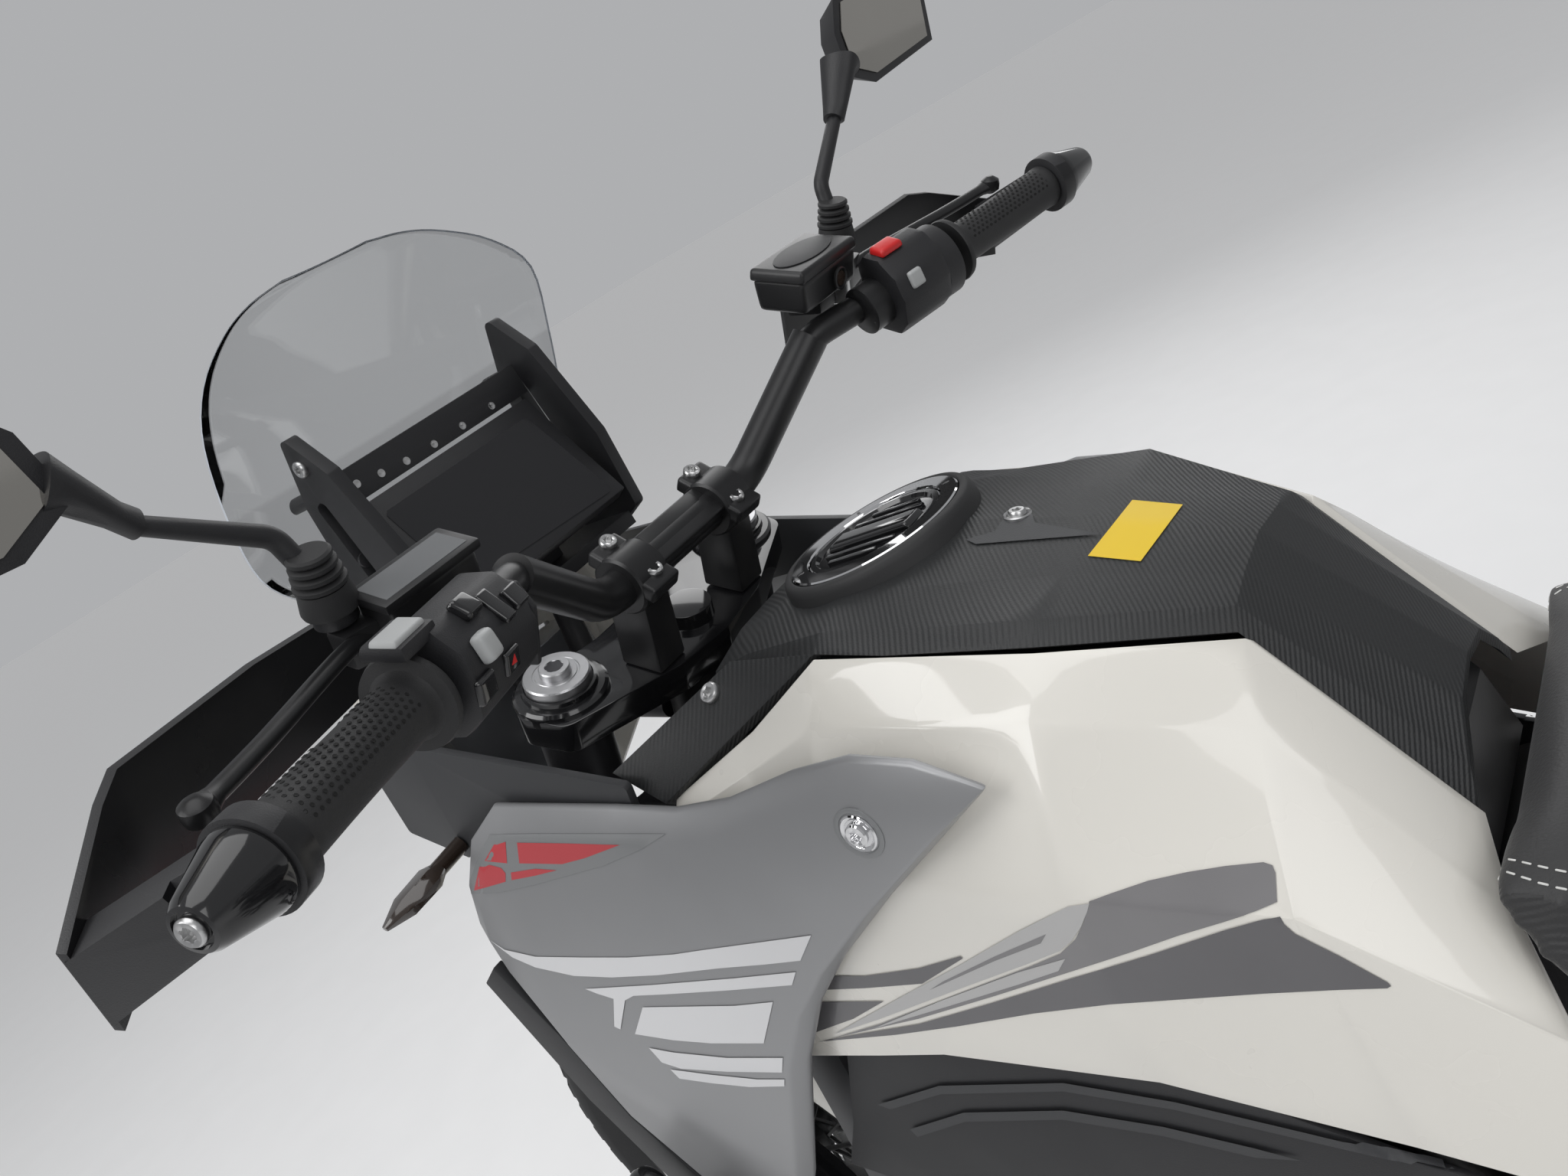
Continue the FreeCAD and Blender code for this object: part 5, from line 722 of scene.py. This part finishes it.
def make_grips():
    """Rubber grips with flanges and a field of dimples drawn as near-black discs of painted shade, and the
    weights at the bar's ends.
    """
    r, start, finish = GRIP_RADIUS, GRIP_FROM, GRIP_FROM + GRIP_LENGTH
    profile = [(r - 3, start - 0.1), (r + 8.4, start), (r + 9, start + 1.6), (r + 8.2, start + 4.6),
               (r + 2.2, start + 5.8), (r + 0.4, start + 8)]
    profile += [(r - 0.25 - 0.5 * math.sin(math.pi * i / 8), start + 12 + i * 11) for i in range(9)]
    profile += [(r + 0.1, finish - 6), (r + 0.4, finish - 2), (r - 0.6, finish - 0.2), (r - 4, finish)]
    grip = lathe(profile, bar_place(0), BAR_WAY, 48)
    add("rubber_grips", both_sides([grip]), RUBBER, "grips", True)
    dots = []
    for row in range(DIMPLE_ROWS):
        angle = math.radians(-64 + row * DIMPLE_TURN)
        out = BAR_UP * math.cos(angle) + BAR_REAR * math.sin(angle)
        for k in range(DIMPLES):
            at = start + 17 + k * DIMPLE_PITCH + (DIMPLE_PITCH / 2 if row % 2 else 0)
            if not (BARE_FROM < at < BARE_TO and row < BARE_ROWS):
                where = bar_place(at) + out * (r - 0.35) / 1000
                dots.append(lathe(((1.15, 0), (1.0, 0.25), (0.02, 0.1)), where, out, 8))
    # Each dimple is a near-black disc at the grip's surface: painted shade, not a hollow
    add("grip_dimple_shade_discs", both_sides(dots), DIMPLE_SHADE, "grips")
    outside = finish + COLLAR
    weight = lathe(((r + 1, outside + 0.2), (r + 3.4, outside + 0.8), (r + 3.6, outside + 3),
                    (r + 2.4, outside + 7), (r - 4.4, outside + 30.5), (r - 6.4, outside + 33.6),
                    (8.6, outside + 34), (8.2, outside + 32.2), (0.02, outside + 32.2)),
                   bar_place(0), BAR_WAY, 48)
    add("end_weights", both_sides([weight]), GLOSS, "bar_ends", True)
    screw = bolt(bar_place(outside + 32.6), BAR_WAY, 6.4)
    add("end_screws", both_sides([screw]), STEEL, "bar_ends")


make_grips()


def make_bar_clamp():
    """Two risers with tilted caps, four screws and the bare block that joins the caps."""
    fall = steer_way(36.4, 0, 13.7)
    rise = steer_way(-13.7, 0, 36.4)
    black, screws = [], []
    for side in (-52, 52):
        black.append(block(steer(-6, side, -7), UPWARD, AHEAD, (36, 29, 56), soft=2.5, taper=0.94))
        black.append(lathe(((20.5, -15), (22.4, -13.4), (22.4, 13.4), (20.5, 15)),
                           steer(-6, side, 64), ACROSS, 40))
        black.append(block(steer(-6.2, side, 66), rise, fall, (57, 29, 12.5), soft=3.0, segments=3))
        for ahead, up in ((12.0, 85.0), (-24.4, 71.4)):
            screws.append(bolt(steer(ahead, side * 50 / 52, up), rise, 6.6, raised=0.6))
    black.append(block(steer(-6.2, 0, 67), rise, fall, (30, 84, 10.5), soft=2.2, segments=3))
    black.append(block(steer(-5.2, 0, 76.6), rise, fall, (17, 62, 2.2), soft=0.8))
    add("clamp_caps", black, SATIN_BLACK, "bar_clamp", True)
    add("clamp_screws", screws, STEEL, "bar_clamp")


make_bar_clamp()


def make_fork_caps():
    """Silver caps on the fork legs, in the clamp's black collars."""
    for name, side in (("left", 1), ("right", -1)):
        at = steer(35.7, 108 * side, 0)
        cap = lathe(((24.4, -7), (24.4, 7.4), (23.4, 8.6), (17.2, 8.8), (16.8, 8.3), (15.6, 8.3),
                     (15.2, 8.8), (11.6, 8.8), (11.4, 13.6), (10.6, 14.4), (6.8, 14.4), (6.4, 13.8),
                     (6.2, 10.5), (0.02, 10.5)), at, UPWARD, 48, star=(11, 12))
        add("fork_cap_" + name, [cap], ALLOY, "fork_legs", sharp=28)
        collar = lathe(((33.5, -16), (34.5, -14), (34.5, -5.4), (32.4, -3.4), (28.0, -3.0), (27.4, 1.2),
                        (25.4, 1.6), (24.7, 0.6), (24.6, -8)), at, UPWARD, 48)
        add("fork_collar_" + name, [collar], GLOSS, "triple_clamps")


make_fork_caps()


def reservoir_block(side, up, size, soft, **shape):
    """A block on a reservoir's axis, on the left."""
    return block(steer(-24, side, up), UPWARD, ACROSS, size, soft, **shape)


def make_levers():
    """The levers' blades with their rounded tips, and their pivots."""
    way = Vector(BAR_LEAN).normalized()
    root = Vector(BAR_BACK) - way * 62 + Vector((46, 0, 2))
    points = [root, root + way * 40 + Vector((14, 0, 0)), root + way * 130 + Vector((6, 0, -2)),
              root + way * 178 + Vector((2, 0, -2))]
    line = curve_points([steer(*p) for p in points], 8)
    radii = [7.0 - 2.0 * min(1.0, i / 6) for i in range(len(line))]
    radii[-2:] = [6.4, 6.8]
    knob = lathe(((3, -7), (7.4, -4), (8.0, 0), (7.4, 4), (3, 7)), line[-1], UPWARD, 20)
    pivot = lathe(((9.5, -10), (11, -9), (11, 9), (9.5, 10), (4, 10), (4, 8.5), (0.02, 8.5)),
                  steer(*root), UPWARD, 28)
    add("levers", both_sides([tube(line, radii, 16, 0.75), knob]), SATIN_BLACK, "bar_controls", True)
    add("lever_pivots", both_sides([pivot]), STEEL, "bar_controls")


def make_reservoirs():
    """The perches with the brake's reservoir on the right and the clutch's on the left."""
    node = "bar_controls"
    clamp = lathe(((17.5, -12), (19, -11), (19, 11), (17.5, 12)), bar_place(-78), BAR_WAY, 36)
    perch = prism([(-40, -12), (34, -14), (46, -8), (46, 8), (20, 13), (-30, 13)],
                  steer(-12, 226, 152), UPWARD, ACROSS, 22, 3.0)
    lid = reservoir_block(183, 198, (80, 48, 9), 3.2, taper=0.96, segments=3)
    cup = reservoir_block(183, 174, (74, 42, 25), 5.0, taper=1.06, segments=3)
    add("brake_reservoir", [flipped(p) for p in (clamp, perch, cup, lid)], SATIN_BLACK, node)
    turns = [math.radians(12 * k) for k in range(30)]
    oval = prism([(33 * math.cos(turn), 16 * math.sin(turn)) for turn in turns],
                 steer(-24, 183, 206.8), UPWARD, ACROSS, 1.2, 0.5)
    add("brake_lid_oval", [flipped(oval)], PLASTIC, node)
    left_cup = reservoir_block(222, 160, (62, 28, 23), 4.0, segments=3)
    left_lid = reservoir_block(222, 182, (68, 33, 6), 2.0)
    add("clutch_reservoir", [clamp, perch, left_cup, left_lid], SATIN_BLACK, node)
    add("reservoir_tag", [reservoir_block(222, 187.8, (58, 24, 0.5), 0.2, segments=1)], TAG, node)
    at = flip(steer(-49.0, 190, 186))
    ring = lathe(((8.6, 0), (8.6, 1.6), (7.4, 2.2), (6.4, 1.8), (6.0, 0.8), (0.02, 0.8)), at, -AHEAD, 32)
    add("sight_ring", [ring], SATIN_BLACK, node)
    add("sight_glass", [lathe(((5.8, 0.6), (5.4, 1.6), (0.02, 2.2)), at, -AHEAD, 28)], AMBER, node)


make_levers()
make_reservoirs()


def key_place(tree, along, angle, right):
    """Where a key sits on a housing: mm along the bar, degrees back from its top."""
    turn = math.radians(angle)
    way = BAR_UP * math.cos(turn) + BAR_REAR * math.sin(turn)
    start = bar_place(along) + way * 0.09
    if right:
        start, way = flip(start), flip(way)
    return tree.ray_cast(start, -way)[:2]


# Section of a switch housing round the bar: back and up, in mm
LEFT_HOUSING = ((-17, -20), (-18, 20), (-8, 31), (12, 32), (27, 19), (31, 4), (29, -15), (17, -27),
                (-8, -27))
RIGHT_HOUSING = ((-17, -20), (-18, 26), (-8, 36), (10, 36), (26, 23), (32, 5), (29, -15), (17, -27),
                 (-8, -28))
CAP_SECTION = ((-13, 27), (12, 27), (11, 35), (-11, 35))
FLANGE_SECTION = ((-14, -24), (26, -24), (30, 10), (22, 24), (-10, 28), (-17, 10))
KEYS = (
    # name, on the right, mm along, degrees back, size along, across and out, soft, finish
    ("rocker_left", False, 5, 2, (28, 15, 3.5), 1.6, KEY_GREY),
    ("knob_left", False, -19, 61, (14, 16, 8.0), 3.5, KEY_GREY),
    ("toggle_left", False, -32, 27, (15, 14, 6.0), 2.5, GLOSS),
    ("mode_left", False, -64, 50, (14, 13, 4.0), 1.6, GLOSS),
    ("select_left", False, -48, 44, (11, 22, 3.0), 1.4, GLOSS),
    ("hazard_left", False, -37, 92, (15, 13, 3.0), 1.4, GLOSS),
    ("horn_left", False, -8, 90, (17, 14, 4.0), 2.0, GLOSS),
    ("kill_rocker", True, -56, 6, (22, 17, 6.0), 2.6, KEY_RED),
    ("start_button", True, -54, 60, (13, 14, 4.5), 2.4, KEY_GREY),
)
# How far a key sits in its housing, in metres
KEY_SUNK = 0.0008


def make_switches():
    """The two switch housings with their keys, and the hazard key's red triangle."""
    node = "bar_controls"
    left = [prism(LEFT_HOUSING, bar_place(-74), BAR_WAY, BAR_REAR, 71, 5.0),
            prism(CAP_SECTION, bar_place(-12), BAR_WAY, BAR_REAR, 31, 2.5),
            prism(FLANGE_SECTION, bar_place(-77), BAR_WAY, BAR_REAR, 5, 1.5)]
    right = [prism(RIGHT_HOUSING, bar_place(-72), BAR_WAY, BAR_REAR, 50, 5.0),
             lathe(((24, -24), (29, -22), (29, -6), (24, -3)), bar_place(0), BAR_WAY, 44)]
    near = add("switch_housing_left", left, PLASTIC, node)
    far = add("switch_housing_right", [flipped(p) for p in right], PLASTIC, node)
    trees = {False: tree_of(near), True: tree_of(far)}
    ways = {False: BAR_WAY, True: flip(BAR_WAY)}
    for name, on_right, along, angle, size, soft, mat in KEYS:
        at, normal = key_place(trees[on_right], along, angle, on_right)
        key = block(at - normal * KEY_SUNK, normal, ways[on_right], size, soft, taper=0.9, segments=3)
        add(name, [key], mat, node)
        if name == "hazard_left":
            top = at + normal * ((size[2] - 0.9) / 1000)
            add("hazard_mark", [lathe(((3.4, 0), (3.4, 0.3), (0.02, 0.3)), top, normal, 3)], KEY_RED, node)


make_switches()


# Mirrors: rise of a head, from where on its stem and over what width, and above what height
HEAD_RISE, RISE_FROM, RISE_WIDTH, RISE_ABOVE = 0.024, 0.317, 0.030, 1.2


def raise_head(piece):
    """Lifts each mirror's head above the end of its stem, which leans with it."""
    for vert in piece.data.vertices:
        share = min(1.0, max(0.0, (abs(vert.co.y) - RISE_FROM) / RISE_WIDTH))
        if vert.co.z > RISE_ABOVE:
            vert.co += UPWARD * (HEAD_RISE * share * share * (3 - 2 * share))


def make_mirror_glass():
    """Glass in each mirror's rim, and the rings of the boot at its foot."""
    centre = steer(22, 400, 292)
    turn = math.radians(22)
    back = -(AHEAD * math.cos(turn) - UPWARD * math.sin(turn))
    up = (AHEAD * math.sin(turn) + UPWARD * math.cos(turn)).normalized()
    outline = ((-60, -26), (-28, -40), (84, -32), (100, 6), (72, 38), (-38, 32), (-56, 8))
    inner = [(17 + (side - 17) * 0.88, -1 + (high + 1) * 0.84) for side, high in outline]
    verts = [centre + ACROSS * (side / 1000) + up * (high / 1000) + back * lift
             for lift in (0.0006, 0.0014) for side, high in inner]
    pane = (verts, tube_faces(2, len(inner))[:-2] + [tuple(range(len(inner), 2 * len(inner)))])
    raise_head(add("mirror_glass", both_sides([pane]), MIRROR, "mirrors", sharp=20))
    raise_head(PIECES["mirrors"])
    rings = []
    for k in range(4):
        at = steer(-5, 263, 198 + k * 5.2)
        rings.append(lathe(((12.5 - k * 0.6, 0), (14.2 - k * 0.8, 1.2), (14.2 - k * 0.8, 3.2),
                            (12.2 - k * 0.6, 4.4)), at, UPWARD, 28))
    boot = lathe(((15, -14), (15.5, -12), (13.4, 0)), steer(-5, 263, 198), UPWARD, 28)
    add("mirror_boots", both_sides(rings + [boot]), RUBBER, "mirrors")


make_mirror_glass()


# Tyres
# Points of the shoulder: share of the half width, and depth below the crown as a share of the section
TYRE_SHOULDER = ((0.985, 0.60), (1.0, 0.44), (0.93, 0.24), (0.72, 0.105), (0.42, 0.03))


def tyre_line(radius, half_width, bead, half_rim):
    """Side and radius of a tyre's outside, from bead to bead, rounded."""
    corners = [(half_rim, bead + 1), (half_rim, bead + 11)]
    corners += [(wide * half_width, radius - deep * (radius - bead)) for wide, deep in TYRE_SHOULDER]
    return corners + [(0.0, radius)] + [(-side, r) for side, r in corners[::-1]]


TYRES = (
    # node, radius, half width, bead, half rim, knobs around
    ("front_tyre", 329.0, 55.0, 241.3, 35.8, 46),
    ("rear_tyre", 321.0, 75.0, 215.9, 56.8, 42),
)
# Knobs: from and to across in half widths, and how far round in pitches
KNOB_ROWS = ((-0.90, -0.60, 0.5), (-0.52, -0.08, 0.0), (0.08, 0.52, 0.5), (0.60, 0.90, 0.0))
TREAD, TYRE_STEPS = 5.5, 120


def make_tyre(node, radius, half_width, bead, half_rim, knobs):
    """A carcass with knobs that reach the tyre's full radius."""
    ends = [[v.co[k] for v in NODES[node].data.vertices] for k in range(3)]
    centre = Vector([(min(values) + max(values)) / 2 for values in ends])
    line = tyre_line(radius, half_width, bead, half_rim)
    carcass = []
    for side, r in line:
        sunk = abs(side) < 0.95 * half_width and r > radius - 0.4 * (radius - bead)
        carcass.append((r - TREAD if sunk else r, side))
    inner = [(r - 9, side * 0.86) for r, side in carcass[2:-2]]
    ring = carcass + [(bead + 1, -half_rim + 9)] + inner[::-1] + [(bead + 1, half_rim - 9)]

    def spot(angle, side, r):
        out = Vector((math.cos(angle), 0, math.sin(angle)))
        return centre + out * (r / 1000) + ACROSS * (side / 1000)

    rows = len(ring)
    verts = [spot(2 * math.pi * i / TYRE_STEPS, side, r) for i in range(TYRE_STEPS) for r, side in ring]
    faces = []
    for i in range(TYRE_STEPS):
        j = (i + 1) % TYRE_STEPS
        for k in range(rows):
            m = (k + 1) % rows
            faces.append((i * rows + k, i * rows + m, j * rows + m, j * rows + k))
    parts = [(verts, faces)]

    def reach(side):
        for (s1, r1), (s2, r2) in zip(line, line[1:]):
            if s1 >= side >= s2 and s1 != s2:
                return r1 + (r2 - r1) * (s1 - side) / (s1 - s2)
        return radius

    pitch = 2 * math.pi / knobs
    for i in range(knobs):
        for from_side, to_side, offset in KNOB_ROWS:
            start = (i + offset) * pitch
            corners = []
            for lift in (-TREAD - 1.5, 0.0):
                inset = 0.0 if lift else 0.05
                for a, s in ((0.14 + inset, from_side), (0.80 - inset, from_side),
                             (0.86 - inset, (from_side + to_side) / 2), (0.80 - inset, to_side),
                             (0.14 + inset, to_side), (0.20 + inset, (from_side + to_side) / 2)):
                    side = s * half_width
                    corners.append(spot(start + a * pitch, side, reach(side) + lift))
            parts.append((corners, tube_faces(2, 6)[:-2] + [tuple(range(6, 12))]))
    add(node + "_piece", parts, TYRE, node, True, sharp=35, outward=True)


for tyre_row in TYRES:
    make_tyre(*tyre_row)


# Seats: how far one is drawn in, the most that it swells, and its voxels, in metres
SEAT_INSET, SEAT_SWELL, SEAT_VOXEL = 0.003, 0.008, 0.006
CLOTH_FRAMES = 20


def evaluated(obj):
    """An object as its modifiers leave it."""
    return obj.evaluated_get(bpy.context.evaluated_depsgraph_get())


def cushion(node):
    """A padded seat: the CAD form remeshed, blown up a little as cloth, then smoothed."""
    mesh = NODES[node].data.copy()
    bm = bmesh.new()
    bm.from_mesh(mesh)
    bmesh.ops.remove_doubles(bm, verts=bm.verts, dist=WELD)
    bmesh.ops.recalc_face_normals(bm, faces=bm.faces[:])
    bm.normal_update()
    for vert in bm.verts:
        vert.co -= vert.normal * SEAT_INSET
    bm.to_mesh(mesh)
    bm.free()
    obj = linked(node + "_padding", mesh)
    remesh = obj.modifiers.new("remesh", "REMESH")
    remesh.mode = "VOXEL"
    remesh.voxel_size = SEAT_VOXEL
    start = bpy.data.meshes.new_from_object(evaluated(obj))
    obj.modifiers.clear()
    obj.data = start
    first = [v.co.copy() for v in start.vertices]
    held = [v.index for v in start.vertices if v.normal.z < -0.35]
    obj.vertex_groups.new(name="under").add(held, 1.0, "REPLACE")
    last = first
    cloth = obj.modifiers.new("cloth", "CLOTH")
    settings = cloth.settings
    settings.vertex_group_mass = "under"
    settings.use_pressure = True
    settings.uniform_pressure_force = 4.0
    settings.effector_weights.gravity = 0.0
    settings.tension_stiffness = 12
    settings.compression_stiffness = 12
    settings.bending_stiffness = 1.5
    cloth.point_cache.frame_start = 1
    cloth.point_cache.frame_end = CLOTH_FRAMES
    for number in range(1, CLOTH_FRAMES + 1):
        bpy.context.scene.frame_set(number)
    last = [v.co.copy() for v in evaluated(obj).data.vertices]
    obj.modifiers.clear()
    bpy.context.scene.frame_set(1)
    for vert, before, after in zip(start.vertices, first, last):
        move = after - before
        if move.length > SEAT_SWELL:
            move = move.normalized() * SEAT_SWELL
        vert.co = before + move
    smooth = obj.modifiers.new("smooth", "SMOOTH")
    smooth.factor = 0.5
    smooth.iterations = 6
    finer = obj.modifiers.new("finer", "SUBSURF")
    finer.levels = 1
    done = bpy.data.meshes.new_from_object(evaluated(obj))
    bpy.data.objects.remove(obj)
    piece = shown(node + "_cushion", done, SEAT, node, True)
    for polygon in done.polygons:
        polygon.use_smooth = True
    paint(piece, SEAT_RIB, lambda normal: abs(normal.z) < 0.62 and abs(normal.y) > 0.3)
    return piece


# x and side of the seam between a seat's top and its flank
RIDER_SEAM = ((628, 112), (606, 121), (560, 129), (500, 139), (400, 153), (290, 161), (244, 158))
PILLION_SEAM = ((212, 112), (120, 116), (-20, 104), (-96, 84))
# Stitches: mm inside the seam, size in mm and spacing in metres
STITCH_ROWS, STITCH_SIZE, STITCH_STEP = (4.0, 11.0), (4.2, 1.0, 0.8), 0.0066


def stitches(name, seat, seam, node):
    """Two rows of stitches along each side of a seat."""
    tree = tree_of(seat)
    dashes = []
    for inward in STITCH_ROWS:
        line = curve_points([place(x, side - inward, 1000) for x, side in seam], 10)
        travelled, due = 0.0, 0.0
        for here, after in zip(line, line[1:]):
            step = (after - here).length
            while due < travelled + step:
                at = here.lerp(after, (due - travelled) / step)
                due += STITCH_STEP
                hit, normal = tree.ray_cast(at, Vector((0, 0, -1)))[:2]
                if hit is not None:
                    dashes.append(block(hit - normal * 0.0002, normal, after - here, STITCH_SIZE,
                                        soft=0.35, segments=1))
            travelled += step
    add(name, both_sides(dashes), THREAD, node)


RIDER_CUSHION = cushion("rider_seat")
PILLION_CUSHION = cushion("pillion_seat")
stitches("rider_stitches", RIDER_CUSHION, RIDER_SEAM, "rider_seat")
stitches("pillion_stitches", PILLION_CUSHION, PILLION_SEAM, "pillion_seat")


# Floor and light
FLOOR_HALF = 60.0
FLOOR_GLOW = 0.16
# Strength of the world on the object, and as the camera sees it
WORLD_LIGHT, WORLD_SEEN = 0.42, 0.53
LAMPS = (
    # name, place, aim, side in metres, watts
    ("key", (1.2, 2.6, 3.4), (0.0, 0.0, 0.9), 2.2, 52),
    ("fill", (-3.0, 1.8, 2.6), (0.0, 0.0, 0.8), 2.4, 30),
    ("far", (1.6, -3.0, 3.0), (0.0, 0.0, 0.9), 2.4, 34),
    ("top", (-0.2, 0.2, 4.2), (0.0, 0.0, 0.0), 2.6, 34),
)


def for_camera(tree, low, high):
    """A strength that has its second value where the camera looks straight at the surface."""
    return ranged(tree, new_node(tree, "LightPath", {}, "Is Camera Ray"), low, high)


def make_stage():
    mesh = bpy.data.meshes.new("floor")
    far = FLOOR_HALF
    mesh.from_pydata([(-far, -far, 0), (far, -far, 0), (far, far, 0), (-far, far, 0)], [], [(0, 1, 2, 3)])
    floor = linked("floor", mesh)
    pale = surface("floor_pale", (0.80, 0.80, 0.80), 0.6, spread=0.01)
    tree = pale.node_tree
    wire(tree, tree.nodes["Principled BSDF"], {
        "Emission Color": (1, 1, 1, 1), "Emission Strength": for_camera(tree, 0.0, FLOOR_GLOW)})
    mesh.materials.append(pale)
    world = bpy.data.worlds.new("studio")
    bpy.context.scene.world = world
    world.use_nodes = True
    tree = world.node_tree
    wire(tree, tree.nodes["Background"], {
        "Color": (0.80, 0.81, 0.83, 1), "Strength": for_camera(tree, WORLD_LIGHT, WORLD_SEEN)})
    for name, at, to, side, power in LAMPS:
        data = bpy.data.lights.new(name, "AREA")
        data.shape = "SQUARE"
        data.size = side
        data.energy = power
        lamp = linked(name, data)
        aim = Vector(to) - Vector(at)
        lamp.matrix_world = Matrix.Translation(at) @ aim.to_track_quat("-Z", "Y").to_matrix().to_4x4()


make_stage()
bpy.context.scene.view_settings.view_transform = "Standard"
